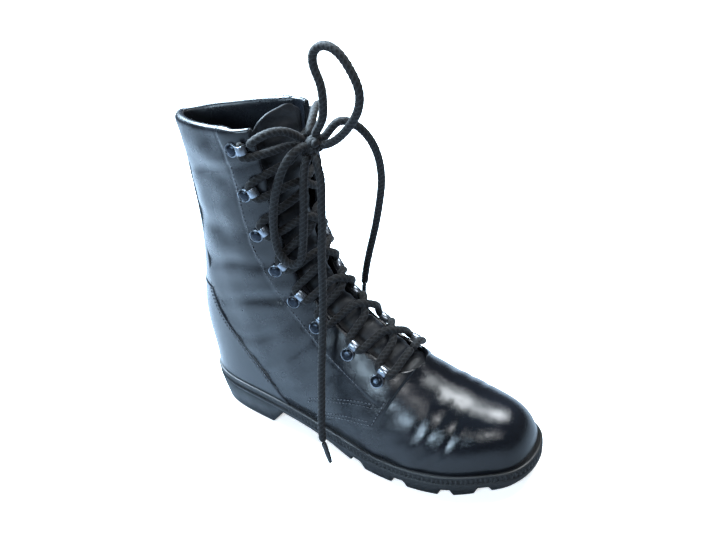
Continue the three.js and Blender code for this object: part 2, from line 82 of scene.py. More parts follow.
# Places up the form are section numbers, from 0 under the toe.
THROAT_FOOT = 7.2  # the foot of the lace opening
THROAT_ROUND = 0.8  # how many sections its rounded end takes
COLLAR = 16.0  # the top of the upper
BAND_FOOT = 15.35  # the lower edge of the collar band
FACING = (1.4, 1.7)  # angles between which the padding starts
TONGUE_FOOT = 6.7
TONGUE_TOP = 16.2
TONGUE_LAP = 6.0  # how far the tongue reaches in under the leather
KNOT = (130.0, 2.0, 241.0)


class Side(Enum):
    """The two long sides of the boot, as the sign of their angles."""

    OUTER = -1
    INNER = 1


class Section(NamedTuple):
    """A ring of the last and shaft in a plane across the boot."""

    frontX: float
    frontZ: float
    backX: float
    backZ: float
    centre: float
    outer: float
    inner: float
    widest: float
    fullFront: float
    fullBack: float
    throat: float
    sink: float


SECTIONS = [
    Section(284.5, 8, 249, -25, 7, 26, 26, 0.60, 2.2, 2.2, 18, 0),
    Section(285.0, 24, 247, -25, 7, 28, 28, 0.60, 2.2, 2.2, 18, 0),
    Section(283.5, 38, 245, -25, 7, 31, 30, 0.60, 2.2, 2.2, 18, 0),
    Section(276.0, 50, 241, -25, 7, 35, 33, 0.60, 2.2, 2.3, 18, 0),
    Section(262.0, 57, 234, -25, 6, 41, 38, 0.60, 2.2, 2.4, 18, 0),
    Section(243.0, 60, 221, -25, 5, 47, 43, 0.60, 2.2, 2.5, 18, 0),
    Section(224.0, 66, 199, -25, 4, 50, 45, 0.58, 2.1, 2.6, 18, 0),
    Section(205.0, 77, 168, -25, 3, 50, 41, 0.56, 2.0, 2.6, 19, 0),
    Section(187.0, 91, 130, -25, 2, 46, 34, 0.54, 2.0, 2.6, 20, 0),
    Section(168.0, 106, 85, -25, 1, 41, 31, 0.53, 2.0, 2.8, 20, 1),
    Section(152.0, 122, 40, -25, 0, 38, 31, 0.52, 2.0, 3.0, 19, 2),
    Section(139.0, 138, 5, -12, -1, 35, 32, 0.52, 2.0, 3.2, 18, 3),
    Section(129.0, 157, 2, 38, -1, 33, 32, 0.48, 2.0, 3.0, 20, 4),
    Section(123.0, 180, 0, 84, -1, 33, 32, 0.45, 2.1, 2.6, 22, 5),
    Section(120.0, 205, 9, 136, 0, 33, 33, 0.40, 2.2, 2.2, 24, 6),
    Section(119.0, 232, 12, 194, 0, 33, 34, 0.33, 2.2, 1.85, 26, 7),
    Section(118.0, 261, 7, 253, 0, 33, 35, 0.27, 2.2, 1.6, 28, 8),
    Section(118.0, 286, 1, 280, 0, 33, 35, 0.26, 2.2, 1.6, 28, 8),
]
SOLE_TOP = [(-10, 34), (40, 34), (80, 32.5), (120, 28), (160, 24), (200, 21.5), (235, 21.5),
            (265, 23.5), (295, 27.5)]
SOLE_UNDER = [(86, 17), (110, 14), (135, 8.5), (158, 2), (172, 0), (200, 0), (232, 0), (250, 2), (270, 6),
              (295, 13)]
GROOVES = [(164, 12), (202, 11), (237, 9), (261, 9)]
EYELETS = [(91, 248), (92.5, 215), (94, 183), (102, 154), (112, 128), (129, 109), (155, 92), (180, 77)]
STAY_EDGE = [(16, 226), (25, 200), (31, 165), (32, 124)]
COUNTER_EDGE = [(33, 123), (37, 106), (48, 87), (66, 66), (84, 47), (104, 24)]

ROUTES = {
    "lace_run_outer": [
        (106, -35, 252), (111, -31, 256), (117, -22, 258), (121, -12, 255), (123, -4, 249)],
    "lace_run_inner": [
        (107.9, 39.6, 255.4), (112, 34, 257), (117, 25, 258), (122, 15, 255), (124.5, 7, 249.5)],
    "bow_loop_up": [
        (134, 2, 251), (141, 1, 260), (145, 0, 272), (145, 0, 285), (142, 0, 295), (143, 0, 304),
        (151, 0, 309), (161, 0, 306), (169, 0, 296), (174, 0, 283), (171, 1, 270), (161, 2, 257),
        (148, 2.5, 246.5), (140, 2, 243)],
    "bow_loop_down": [
        (129, -8, 244), (128, -17, 243), (124, -25, 235), (119, -30, 221), (114, -32, 203),
        (111, -32, 184), (112.5, -31.5, 170.5), (119, -29.5, 163), (125, -27, 165), (129, -24, 180),
        (131, -21, 198), (131, -17, 214), (130, -12, 227), (130, -8, 234)],
    "lace_end_inner": [
        (138, 7.5, 248), (146, 12, 256), (154, 18, 253), (159, 26, 241), (160, 33, 224), (157, 38, 204),
        (151, 41, 184), (144, 42, 162), (137, 42, 142), (131, 41, 122), (128, 40, 108)],
    "lace_end_outer": [
        (136, -5, 235), (141, -9, 225), (143, -14, 210), (144, -19, 192), (144, -24, 173),
        (144, -28, 152), (144, -33, 130), (144, -39, 108), (144, -46, 84), (145, -53, 60),
        (146, -59, 40), (147.5, -61, 32)],
}
AGLETS = {
    "aglet_inner": ((127.9, 40, 107.6), (125, 39.5, 88)),
    "aglet_outer": ((147.7, -61.1, 31.2), (152, -62, 13)),
}


# ---------------------------------------------------------------- numbers


class Spline:
    """A natural cubic spline through points, straight beyond its ends."""

    def __init__(self, xs: Sequence[float], ys: Sequence[float]) -> None:
        """Fits the spline.

        Args:
            xs: where the points are, rising.
            ys: their values.
        """
        self.x = np.asarray(xs, float)
        self.y = np.asarray(ys, float)
        count = len(self.x)
        gaps = np.diff(self.x)
        slopes = np.diff(self.y) / gaps
        matrix = np.eye(count)
        right = np.zeros(count)
        for i in range(1, count - 1):
            matrix[i, i - 1 : i + 2] = gaps[i - 1], 2 * (gaps[i - 1] + gaps[i]), gaps[i]
            right[i] = 6 * (slopes[i] - slopes[i - 1])
        self.bend = np.linalg.solve(matrix, right)

    def __call__(self, x: Array) -> Array:
        """The spline's value at x.

        Args:
            x: where.

        Returns:
            The values there.
        """
        x = np.asarray(x, float)
        i = np.clip(np.searchsorted(self.x, x, side="right") - 1, 0, len(self.x) - 2)
        step = self.x[i + 1] - self.x[i]
        inside = np.clip(x, self.x[0], self.x[-1])
        a = (self.x[i + 1] - inside) / step
        b = 1 - a
        curve = ((a**3 - a) * self.bend[i] + (b**3 - b) * self.bend[i + 1]) * step**2 / 6
        first = (self.y[1] - self.y[0]) / (self.x[1] - self.x[0])
        first -= (self.x[1] - self.x[0]) * (2 * self.bend[0] + self.bend[1]) / 6
        last = (self.y[-1] - self.y[-2]) / (self.x[-1] - self.x[-2])
        last += (self.x[-1] - self.x[-2]) * (self.bend[-2] + 2 * self.bend[-1]) / 6
        slope = np.where(x < self.x[0], first, last)
        return a * self.y[i] + b * self.y[i + 1] + curve + slope * (x - inside)


def smooth(low: float, high: float, x: Array) -> Array:
    """A soft step from 0 at low to 1 at high."""
    t = np.clip((np.asarray(x, float) - low) / (high - low), 0, 1)
    return t * t * (3 - 2 * t)


def bump(x: Array, width: float) -> Array:
    """A soft hill of height 1 at x = 0."""
    return np.exp(-((np.asarray(x, float) / width) ** 2))


def unit(v: Array) -> Array:
    """Vectors of length 1 in the same directions."""
    return v / np.maximum(np.linalg.norm(v, axis=-1, keepdims=True), 1e-12)


def signed_distance(flat: Array, line: Sequence[tuple[float, float]]) -> Array:
    """Distances of flat points from a line of points, above zero to the right of its run.

    Args:
        flat: the points, two numbers each.
        line: the corners of the line.

    Returns:
        The distances.
    """
    best = np.full(flat.shape[:-1], 1e9)
    sign = np.ones(flat.shape[:-1])
    corners = np.asarray(line, float)
    for start, end in zip(corners[:-1], corners[1:]):
        run = end - start
        off = flat - start
        share = np.clip((off @ run) / (run @ run), 0, 1)
        away = np.linalg.norm(off - share[..., None] * run, axis=-1)
        turned = np.where(off[..., 0] * run[1] - off[..., 1] * run[0] >= 0, 1.0, -1.0)
        sign = np.where(away < best - 1e-9, turned, sign)
        best = np.minimum(away, best)
    return best * sign


def bisect(low: Array, high: Array, rising: Callable[[Array], Array]) -> Array:
    """Finds where a rising function of each number passes zero.

    Args:
        low: where it is below zero.
        high: where it is above zero.
        rising: the function.

    Returns:
        The numbers between.
    """
    low = np.array(low, float)
    high = np.array(high, float)
    for _ in range(38):
        middle = (low + high) / 2
        above = rising(middle) > 0
        high = np.where(above, middle, high)
        low = np.where(above, low, middle)
    return (low + high) / 2


def distances(points: Array) -> Array:
    """How far along a run of points each one is."""
    return np.concatenate([[0], np.cumsum(np.linalg.norm(np.diff(points, axis=0), axis=1))])


def resample(points: Array, step: float) -> Array:
    """Points at an even step along a smooth curve through the given ones.

    Args:
        points: what the curve goes through.
        step: about how far apart the new points are.

    Returns:
        The new points.
    """
    points = np.asarray(points, float)
    chord = np.concatenate([[0], np.cumsum(np.linalg.norm(np.diff(points, axis=0), axis=1) ** 0.5)])
    fine = np.linspace(0, chord[-1], 60 * len(points))
    curve = np.stack([Spline(chord, points[:, k])(fine) for k in range(3)], 1)
    run = distances(curve)
    count = max(int(round(run[-1] / step)), 2)
    at = np.linspace(0, run[-1], count + 1)
    return np.stack([np.interp(at, run, curve[:, k]) for k in range(3)], 1)


# ---------------------------------------------------------------- the form


class Form:
    """The form of the last and shaft, which every piece of leather follows."""

    def __init__(self) -> None:
        """Fits a spline to each column of the sections."""
        steps = range(len(SECTIONS))
        self.column = {
            name: Spline(steps, [getattr(row, name) for row in SECTIONS]) for name in Section._fields
        }
        self.sole_top = Spline(*zip(*SOLE_TOP))
        self.sole_arch = Spline(*zip(*SOLE_UNDER))
        self.shift = np.zeros(3)

    def settle(self) -> None:
        """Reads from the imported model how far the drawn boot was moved."""
        low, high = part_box("bow_knot")
        self.shift = np.array((low + high) / 2) / MM - np.array(KNOT)

    def ring(self, s: Array, angle: Array) -> Array:
        """Points of the form.

        Args:
            s: the section numbers.
            angle: angles from the ridge, positive to the inner side.

        Returns:
            The points, in millimetres.
        """
        s, angle = np.broadcast_arrays(np.asarray(s, float), np.asarray(angle, float))
        angle = np.where(np.abs(angle) > math.pi, angle - 2 * math.pi * np.sign(angle), angle)
        col = {name: spline(s) for name, spline in self.column.items()}
        front = np.cos(angle) > 0
        full = np.where(front, col["fullFront"], col["fullBack"])
        across = np.abs(np.sin(angle))
        down = np.abs(np.cos(angle))
        reach = (across**full + down**full) ** (1 / full)
        widest = col["widest"]
        along = np.where(front, widest * (1 - down / reach), widest + (1 - widest) * down / reach)
        half = np.where(angle < 0, -col["outer"], col["inner"])
        x = col["frontX"] + (col["backX"] - col["frontX"]) * along
        z = col["frontZ"] + (col["backZ"] - col["frontZ"]) * along
        return np.stack([x, col["centre"] + half * across / reach, z], -1)

    def normal(self, s: Array, angle: Array) -> Array:
        """Outward normals of the form.

        Args:
            s: section numbers.
            angle: angles from the ridge.

        Returns:
            Vectors of length 1.
        """
        step = 1e-3
        along_sections = self.ring(s + step, angle) - self.ring(s - step, angle)
        along_ring = self.ring(s, angle + step) - self.ring(s, angle - step)
        return unit(np.cross(along_ring, along_sections))

    def lift(self, s: Array, angle: Array, offset: Array) -> Array:
        """Points at an offset outside the form."""
        return self.ring(s, angle) + self.normal(s, angle) * np.asarray(offset, float)[..., None]

    def place(self, x: Array, z: Array, side: float) -> tuple[Array, Array]:
        """The ring through points of the side view, and the angles on it.

        Args:
            x: how far forward they are.
            z: how high they are.
            side: -1 for the outer side, 1 for the inner side.

        Returns:
            Section numbers and angles.
        """
        x, z = np.broadcast_arrays(np.asarray(x, float), np.asarray(z, float))
        col = self.column

        def above(t: Array) -> Array:
            """Above zero where section t is past the points."""
            fx, fz = col["frontX"](t), col["frontZ"](t)
            return (col["backX"](t) - fx) * (z - fz) - (col["backZ"](t) - fz) * (x - fx)

        s = bisect(np.zeros_like(x), np.full_like(x, len(SECTIONS) - 1), above)
        fx, fz = col["frontX"](s), col["frontZ"](s)
        dx, dz = col["backX"](s) - fx, col["backZ"](s) - fz
        along = ((x - fx) * dx + (z - fz) * dz) / (dx * dx + dz * dz)
        widest = col["widest"](s)
        front = along < widest
        full = np.where(front, col["fullFront"](s), col["fullBack"](s))
        down = np.clip(np.where(front, 1 - along / widest, (along - widest) / (1 - widest)), 0, 1)
        across = (1 - down**full) ** (1 / full)
        return s, side * np.arctan2(across, np.where(front, down, -down))

    def angle_at(self, s: Array, distance: Array, side: float) -> Array:
        """Angles where the form is a given distance to the side of its ridge.

        Args:
            s: section numbers.
            distance: how far to the side.
            side: -1 for the outer side, 1 for the inner side.

        Returns:
            The angles.
        """
        s, distance = np.broadcast_arrays(np.asarray(s, float), np.asarray(distance, float))
        centre = self.column["centre"](s)
        zero = np.zeros_like(s)

        def past(t: Array) -> Array:
            """How far beyond the distance the form is at angle t."""
            return np.abs(self.ring(s, side * t)[..., 1] - centre) - distance

        return side * bisect(zero, zero + math.pi / 2, past)

    def throat_half(self, s: Array) -> Array:
        """Half the width of the lace opening."""
        start = np.clip((np.asarray(s, float) - THROAT_FOOT) / THROAT_ROUND, 0, 1)
        return self.column["throat"](s) * np.sqrt(1 - (1 - start) ** 2)

    def under(self, x: Array) -> Array:
        """Height of the underside of the sole, without its grooves.

        Args:
            x: how far forward.

        Returns:
            Heights over the floor.
        """
        x = np.asarray(x, float)
        breast = HEEL_FRONT + HEEL_SLOPE
        slope = float(self.sole_arch(breast)) * (x - HEEL_FRONT) / HEEL_SLOPE
        flat = (x > SOLE_UNDER[4][0]) & (x < SOLE_UNDER[6][0])
        arch = np.where(flat, 0, np.maximum(self.sole_arch(x), 0))
        return np.where(x <= HEEL_FRONT, 0, np.where(x < breast, slope, arch))


FORM = Form()


@dataclass
class Path:
    """A line on the form, as section numbers and angles."""

    s: Array
    angle: Array

    @staticmethod
    def from_side(points: Sequence[tuple[float, float]], side: Side, step: float = 1.0) -> "Path":
        """A smooth line through points of the side view.

        Args:
            points: how far forward and how high each is.
            side: the side of the boot.
            step: how far apart the points of the line are.

        Returns:
            The line.
        """
        flat = resample(np.array([(x, 0.0, z) for x, z in points]), step)
        s, angle = FORM.place(flat[:, 0], flat[:, 2], side.value)
        return Path(s, angle)

    def points(self, offset: float = 0.0) -> Array:
        """The line's points at an offset from the form."""
        return FORM.lift(self.s, self.angle, np.full(len(self.s), offset))


# ---------------------------------------------------------------- meshes


def deselect() -> None:
    """Leaves nothing selected or active."""
    for each in bpy.context.selected_objects:
        each.select_set(False)
    bpy.context.view_layer.objects.active = None


def grid_faces(rows: int, columns: int, start: int = 0, flip: bool = False) -> Array:
    """Four-sided faces of a grid of points.

    Args:
        rows: how many rows of points.
        columns: how many points in a row.
        start: the number of the first point.
        flip: turns the faces over.

    Returns:
        Point numbers, four to a face.
    """
    r, c = np.meshgrid(np.arange(rows - 1), np.arange(columns - 1), indexing="ij")
    a = start + (r * columns + c).ravel()
    quads = np.stack([a, a + 1, a + columns + 1, a + columns], 1)
    return quads[:, ::-1] if flip else quads


def new_mesh(name: str, points: Array, faces: Array, merge: float = 0.0) -> bpy.types.Object:
    """An object with a mesh, shaded smooth.

    Args:
        name: its name.
        points: its points, in drawn millimetres.
        faces: point numbers of its faces.
        merge: joins points closer than this, in millimetres.

    Returns:
        The new object.
    """
    mesh = bpy.data.meshes.new(name)
    given = faces.tolist() if isinstance(faces, np.ndarray) else faces
    polygons = [[int(i) for i in face] for face in given]
    mesh.from_pydata(((np.asarray(points, float) + FORM.shift) * MM).tolist(), [], polygons)
    if merge:
        work = bmesh.new()
        work.from_mesh(mesh)
        bmesh.ops.remove_doubles(work, verts=work.verts, dist=merge * MM)
        bmesh.ops.dissolve_degenerate(work, edges=work.edges, dist=merge * MM / 2)
        work.to_mesh(mesh)
        work.free()
    mesh.polygons.foreach_set("use_smooth", [True] * len(mesh.polygons))
    made = bpy.data.objects.new(name, mesh)
    bpy.context.scene.collection.objects.link(made)
    return made


def dress(piece: bpy.types.Object, finish: "Finish", slot: str, *nodes: str) -> bpy.types.Object:
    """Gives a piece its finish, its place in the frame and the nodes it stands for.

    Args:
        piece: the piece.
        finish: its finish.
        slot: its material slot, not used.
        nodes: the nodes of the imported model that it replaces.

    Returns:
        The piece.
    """
    piece.data.materials.clear()
    piece.data.materials.append(finish.material())
    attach(piece, "root")
    if nodes:
        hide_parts(*nodes)
    LOG.info("%s: %d faces", piece.name, len(piece.data.polygons))
    return piece


def closed_patch(top: Array, bottom: Array) -> tuple[Array, Array]:
    """A closed body between two grids of points of the same size.

    Args:
        top: the upper grid.
        bottom: the lower grid.

    Returns:
        Points and faces.
    """
    rows, columns, _ = top.shape
    count = rows * columns
    number = np.arange(count).reshape(rows, columns)
    border = np.concatenate([number[0], number[1:, -1], number[-1, -2::-1], number[-2:0:-1, 0]])
    after = np.roll(border, -1)
    wall = np.stack([border, border + count, after + count, after], 1)
    faces = np.concatenate([grid_faces(rows, columns), grid_faces(rows, columns, count, True), wall])
    return np.concatenate([top.reshape(-1, 3), bottom.reshape(-1, 3)]), faces


def outward(piece: bpy.types.Object) -> None:
    """Closes any slit left in a mesh and turns its faces outwards.

    Args:
        piece: the piece with the mesh.
    """
    work = bmesh.new()
    work.from_mesh(piece.data)
    bmesh.ops.holes_fill(work, edges=[edge for edge in work.edges if edge.is_boundary], sides=0)
    bmesh.ops.recalc_face_normals(work, faces=work.faces)
    work.to_mesh(piece.data)
    work.free()
    piece.data.polygons.foreach_set("use_smooth", [True] * len(piece.data.polygons))


def tube_frames(points: Array) -> tuple[Array, Array, Array]:
    """Directions along and across a run of points, without twist.

    Args:
        points: the run.

    Returns:
        Vectors of length 1 along, to the side and up, one of each for a point.
    """
    run = unit(np.gradient(points, axis=0))
    first = np.cross(run[0], [0.0, 0.0, 1.0])
    if np.linalg.norm(first) < 0.1:
        first = np.cross(run[0], [0.0, 1.0, 0.0])
    side = [first / np.linalg.norm(first)]
    for i in range(1, len(points)):
        turned = side[-1] - run[i] * np.dot(side[-1], run[i])
        side.append(turned / np.linalg.norm(turned))
    side = np.array(side)
    return run, side, np.cross(run, side)


def capped_tube(rings: Array, start: Array, end: Array) -> tuple[Array, list]:
    """A closed tube of rings of points, with a fan of triangles over each end.

    Args:
        rings: the rings, all with as many points.
        start: the middle of the first end, as one row.
        end: the middle of the last end, as one row.

    Returns:
        Points and faces.
    """
    count, sides, _ = rings.shape
    number = np.arange(count * sides).reshape(count, sides)
    after = np.roll(number, -1, axis=1)
    quads = np.stack([number[:-1], after[:-1], after[1:], number[1:]], -1).reshape(-1, 4)
    verts = np.concatenate([rings.reshape(-1, 3), start, end])
    fans = [(len(verts) - 2, after[0, i], number[0, i]) for i in range(sides)]
    fans += [(len(verts) - 1, number[-1, i], after[-1, i]) for i in range(sides)]
    return verts, list(map(tuple, quads.tolist())) + fans


def braided_tube(points: Array, radius: float, sides: int = 16) -> tuple[Array, list, Array]:
    """A round braid along a run of points, with closed ends.

    Args:
        points: its middle line, in even steps.
        radius: its radius.
        sides: points round it.

    Returns:
        Points, faces and how high each point is on its strand.
    """
    _, side, up = tube_frames(points)
    run = distances(points)
    turn = 2 * math.pi * np.arange(sides) / sides
    one = np.abs(np.cos(2 * turn[None, :] + run[:, None] * math.pi / BRAID_PITCH))
    two = np.abs(np.cos(2 * turn[None, :] - run[:, None] * math.pi / BRAID_PITCH))
    over = np.maximum(one, two)
    r = radius * (0.80 + 0.23 * over)
    ends = np.minimum(run, run[-1] - run)
    r = r * np.sqrt(np.clip(ends / radius + 0.25, 0, 1))[:, None]
    across = side[:, None] * (r * np.cos(turn))[..., None]
    rings = points[:, None] + across + up[:, None] * (r * np.sin(turn))[..., None]
    verts, faces = capped_tube(rings, points[:1], points[-1:])
    ends_high = [0.7, 0.7]
    return verts, faces, np.concatenate([over.ravel(), ends_high])


def join_parts(parts: Sequence[tuple[Array, Sequence]]) -> tuple[Array, list]:
    """Several bodies as one list of points and faces.

    Args:
        parts: the points and faces of each.

    Returns:
        Points and faces.
    """
    points: list[Array] = []
    faces: list[tuple] = []
    start = 0
    for verts, polygons in parts:
        points.append(np.asarray(verts, float))
        faces += [tuple(int(i) + start for i in polygon) for polygon in polygons]
        start += len(verts)
    return np.concatenate(points), faces


# ---------------------------------------------------------------- finishes


def node(tree: bpy.types.NodeTree, kind: str, **values: object) -> bpy.types.Node:
    """A new node with values on its settings and its named sockets.

    Args:
        tree: the node tree it goes in.
        kind: its type.
        values: what to set, with _ for a space.

    Returns:
        The node.
    """
    made = tree.nodes.new(kind)
    for name, value in values.items():
        if hasattr(made, name):
            setattr(made, name, value)
        else:
            made.inputs[name.replace("_", " ")].default_value = value
    return made


def group_grain() -> bpy.types.NodeTree:
    """The node group for the grain and fine wrinkles of polished leather.

    Returns:
        A group from a point, a grain size and wrinkles to a height and a mask.
    """
    known = bpy.data.node_groups.get("leather_grain")
    if known:
        return known
    tree = bpy.data.node_groups.new("leather_grain", "ShaderNodeTree")
    tree.interface.new_socket("Point", in_out="INPUT", socket_type="NodeSocketVector")
    tree.interface.new_socket("Grain scale", in_out="INPUT", socket_type="NodeSocketFloat")
    tree.interface.new_socket("Wrinkles", in_out="INPUT", socket_type="NodeSocketFloat")
    tree.interface.new_socket("Height", in_out="OUTPUT", socket_type="NodeSocketFloat")
    tree.interface.new_socket("Patches", in_out="OUTPUT", socket_type="NodeSocketFloat")
    ins = tree.nodes.new("NodeGroupInput")
    outs = tree.nodes.new("NodeGroupOutput")
    link = tree.links.new
    cells = node(tree, "ShaderNodeTexVoronoi", feature="DISTANCE_TO_EDGE")
    link(ins.outputs["Point"], cells.inputs["Vector"])
    link(ins.outputs["Grain scale"], cells.inputs["Scale"])
    pebbles = node(tree, "ShaderNodeMapRange")
    pebbles.inputs["From Max"].default_value = 0.25
    link(cells.outputs["Distance"], pebbles.inputs["Value"])
    creases = node(tree, "ShaderNodeTexNoise", Scale=130.0, Detail=5.0, Roughness=0.6, Distortion=0.4)
    link(ins.outputs["Point"], creases.inputs["Vector"])
    scaled = node(tree, "ShaderNodeMath", operation="MULTIPLY")
    link(creases.outputs["Fac"], scaled.inputs[0])
    link(ins.outputs["Wrinkles"], scaled.inputs[1])
    fine = node(tree, "ShaderNodeMath", operation="MULTIPLY")
    fine.inputs[1].default_value = 0.12
    link(pebbles.outputs[0], fine.inputs[0])
    total = node(tree, "ShaderNodeMath", operation="ADD")
    link(scaled.outputs[0], total.inputs[0])
    link(fine.outputs[0], total.inputs[1])
    link(total.outputs[0], outs.inputs["Height"])
    patches = node(tree, "ShaderNodeTexNoise", Scale=28.0, Detail=4.0, Roughness=0.6)
    link(ins.outputs["Point"], patches.inputs["Vector"])
    link(patches.outputs["Fac"], outs.inputs["Patches"])
    return tree


class Finish:
    """A finish that can make its own material once."""

    name: str

    def material(self) -> bpy.types.Material:
        """The finish's material, made the first time it is asked for.

        Returns:
            The material.
        """
        known = bpy.data.materials.get(f"look {self.name}")
        if known:
            return known
        made = bpy.data.materials.new(f"look {self.name}")
        made.use_nodes = True
        made.node_tree.nodes.clear()
        out = made.node_tree.nodes.new("ShaderNodeOutputMaterial")
        shader = made.node_tree.nodes.new("ShaderNodeBsdfPrincipled")
        made.node_tree.links.new(shader.outputs[0], out.inputs[0])
        self.paint(made.node_tree, shader)
        return made

    def paint(self, tree: bpy.types.NodeTree, shader: bpy.types.Node) -> None:
        """Fills in the material's nodes. Each finish has its own.

        Args:
            tree: the material's nodes.
            shader: its Principled shader.
        """
        raise NotImplementedError


def blend_colours(
    tree: bpy.types.NodeTree, mask: bpy.types.NodeSocket, low: tuple, high: tuple
) -> bpy.types.NodeSocket:
    """A colour that goes from low to high with a mask.

    Args:
        tree: the node tree.
        mask: the mask, 0 to 1.
        low: the colour at 0.
        high: the colour at 1.

    Returns:
        The socket with the colour.
    """
    mix = node(tree, "ShaderNodeMix", data_type="RGBA")
    mix.inputs[6].default_value = (*low, 1)
    mix.inputs[7].default_value = (*high, 1)
    tree.links.new(mask, mix.inputs[0])
    return mix.outputs[2]


def spread(
    tree: bpy.types.NodeTree, value: bpy.types.NodeSocket, span: tuple, onto: tuple
) -> bpy.types.NodeSocket:
    """A value moved from one span onto another.

    Args:
        tree: the node tree.
        value: the value.
        span: its lowest and highest.
        onto: what they become.

    Returns:
        The socket with the new value.
    """
    made = node(tree, "ShaderNodeMapRange")
    for name, number in zip(("From Min", "From Max", "To Min", "To Max"), (*span, *onto)):
        made.inputs[name].default_value = number
    tree.links.new(value, made.inputs["Value"])
    return made.outputs[0]


def emboss(
    tree: bpy.types.NodeTree,
    shader: bpy.types.Node,
    height: bpy.types.NodeSocket,
    strength: float,
    deep: float,
) -> None:
    """Raises a shader's surface by a height.

    Args:
        tree: the material's nodes.
        shader: its Principled shader.
        height: the height, 0 to 1.
        strength: how strong the relief is.
        deep: how deep it is, in metres.
    """
    relief = node(tree, "ShaderNodeBump", Strength=strength, Distance=deep)
    tree.links.new(height, relief.inputs["Height"])
    tree.links.new(relief.outputs[0], shader.inputs["Normal"])


@dataclass(frozen=True)
class Leather(Finish):
    """Polished black leather with grain, wrinkles and duller patches."""

    name: str = "polished_leather"
    colour: tuple = (0.004, 0.005, 0.007)
    lighter: tuple = (0.010, 0.012, 0.016)
    dull: float = 0.34
    bright: float = 0.2
    grain: float = 1500.0
    wrinkles: float = 0.7
    relief: float = 0.4
    polish_from: float = 0.0
    polish_to: float = 0.0
    polished: float = 0.36
    shine: float = 0.42
    coat: float = 0.12

    def paint(self, tree: bpy.types.NodeTree, shader: bpy.types.Node) -> None:
        """Fills in the leather's nodes.

        Args:
            tree: the material's nodes.
            shader: its Principled shader.
        """
        link = tree.links.new
        where = node(tree, "ShaderNodeTexCoord")
        group = node(tree, "ShaderNodeGroup", node_tree=group_grain())
        group.inputs["Grain scale"].default_value = self.grain
        group.inputs["Wrinkles"].default_value = self.wrinkles
        link(where.outputs["Object"], group.inputs["Point"])
        patches = group.outputs["Patches"]
        rough = spread(tree, patches, (0.35, 0.7), (self.bright, self.dull))
        if self.polish_to > self.polish_from:
            split = node(tree, "ShaderNodeSeparateXYZ")
            link(where.outputs["Object"], split.inputs[0])
            span = (self.polish_from, self.polish_to)
            polish = spread(tree, split.outputs["X"], span, (1.0, self.polished))
            less = node(tree, "ShaderNodeMath", operation="MULTIPLY")
            link(rough, less.inputs[0])
            link(polish, less.inputs[1])
            rough = less.outputs[0]
        link(rough, shader.inputs["Roughness"])
        faded = spread(tree, patches, (0.3, 0.75), (0, 1))
        link(blend_colours(tree, faded, self.colour, self.lighter), shader.inputs["Base Color"])
        emboss(tree, shader, group.outputs["Height"], self.relief, 0.0006)
        shader.inputs["Specular IOR Level"].default_value = self.shine
        shader.inputs["Coat Weight"].default_value = self.coat
        shader.inputs["Coat Roughness"].default_value = 0.16
        shader.inputs["Coat IOR"].default_value = 1.45


@dataclass(frozen=True)
class Rubber(Finish):
    """Black moulded rubber, a little dusty."""

    name: str = "moulded_rubber"
    colour: tuple = (0.004, 0.0045, 0.005)
    dust: tuple = (0.012, 0.0135, 0.016)

    def paint(self, tree: bpy.types.NodeTree, shader: bpy.types.Node) -> None:
        """Fills in the rubber's nodes.

        Args:
            tree: the material's nodes.
            shader: its Principled shader.
        """
        link = tree.links.new
        where = node(tree, "ShaderNodeTexCoord")
        fine = node(tree, "ShaderNodeTexNoise", Scale=700.0, Detail=3.0)
        wide = node(tree, "ShaderNodeTexNoise", Scale=35.0, Detail=6.0, Roughness=0.65)
        link(where.outputs["Object"], fine.inputs["Vector"])
        link(where.outputs["Object"], wide.inputs["Vector"])
        link(spread(tree, wide.outputs["Fac"], (0.3, 0.7), (0.38, 0.6)), shader.inputs["Roughness"])
        dusty = spread(tree, wide.outputs["Fac"], (0.45, 0.75), (0, 1))
        link(blend_colours(tree, dusty, self.colour, self.dust), shader.inputs["Base Color"])
        emboss(tree, shader, fine.outputs["Fac"], 0.25, 0.0003)


@dataclass(frozen=True)
class Braid(Finish):
    """Black braided cord, lighter in colour on its high strands as a painted highlight."""

    name: str = "lace_braid"
    colour: tuple = (0.003, 0.003, 0.0035)
    # lighter: the colour of the painted highlight on the high strands
    lighter: tuple = (0.032, 0.034, 0.038)
    rough: float = 0.75
    # the least share of the painted highlight, on the lowest strands and on meshes without a weave attribute
    least_highlight: float = 0.0

    def paint(self, tree: bpy.types.NodeTree, shader: bpy.types.Node) -> None:
        """Fills in the braid's nodes.

        Args:
            tree: the material's nodes.
            shader: its Principled shader.
        """
        link = tree.links.new
        where = node(tree, "ShaderNodeTexCoord")
        fibres = node(tree, "ShaderNodeTexNoise", Scale=1400.0, Detail=3.0, Roughness=0.7)
        link(where.outputs["Object"], fibres.inputs["Vector"])
        weave = node(tree, "ShaderNodeAttribute", attribute_name="weave")
        # painted highlight: the colour turns lighter where the strands stand highest
        high = node(tree, "ShaderNodeMath", operation="MULTIPLY")
        link(spread(tree, weave.outputs["Fac"], (0.82, 1.0), (self.least_highlight, 1)), high.inputs[0])
        link(spread(tree, fibres.outputs["Fac"], (0.3, 0.6), (0.2, 1)), high.inputs[1])
        link(blend_colours(tree, high.outputs[0], self.colour, self.lighter), shader.inputs["Base Color"])
        emboss(tree, shader, fibres.outputs["Fac"], 0.6, 0.0004)
        link(spread(tree, fibres.outputs["Fac"], (0.3, 0.7), (self.rough - 0.15, self.rough + 0.1)),
             shader.inputs["Roughness"])
        shader.inputs["Specular IOR Level"].default_value = 0.3
        shader.inputs["Sheen Weight"].default_value = 0.06
        shader.inputs["Sheen Roughness"].default_value = 0.5


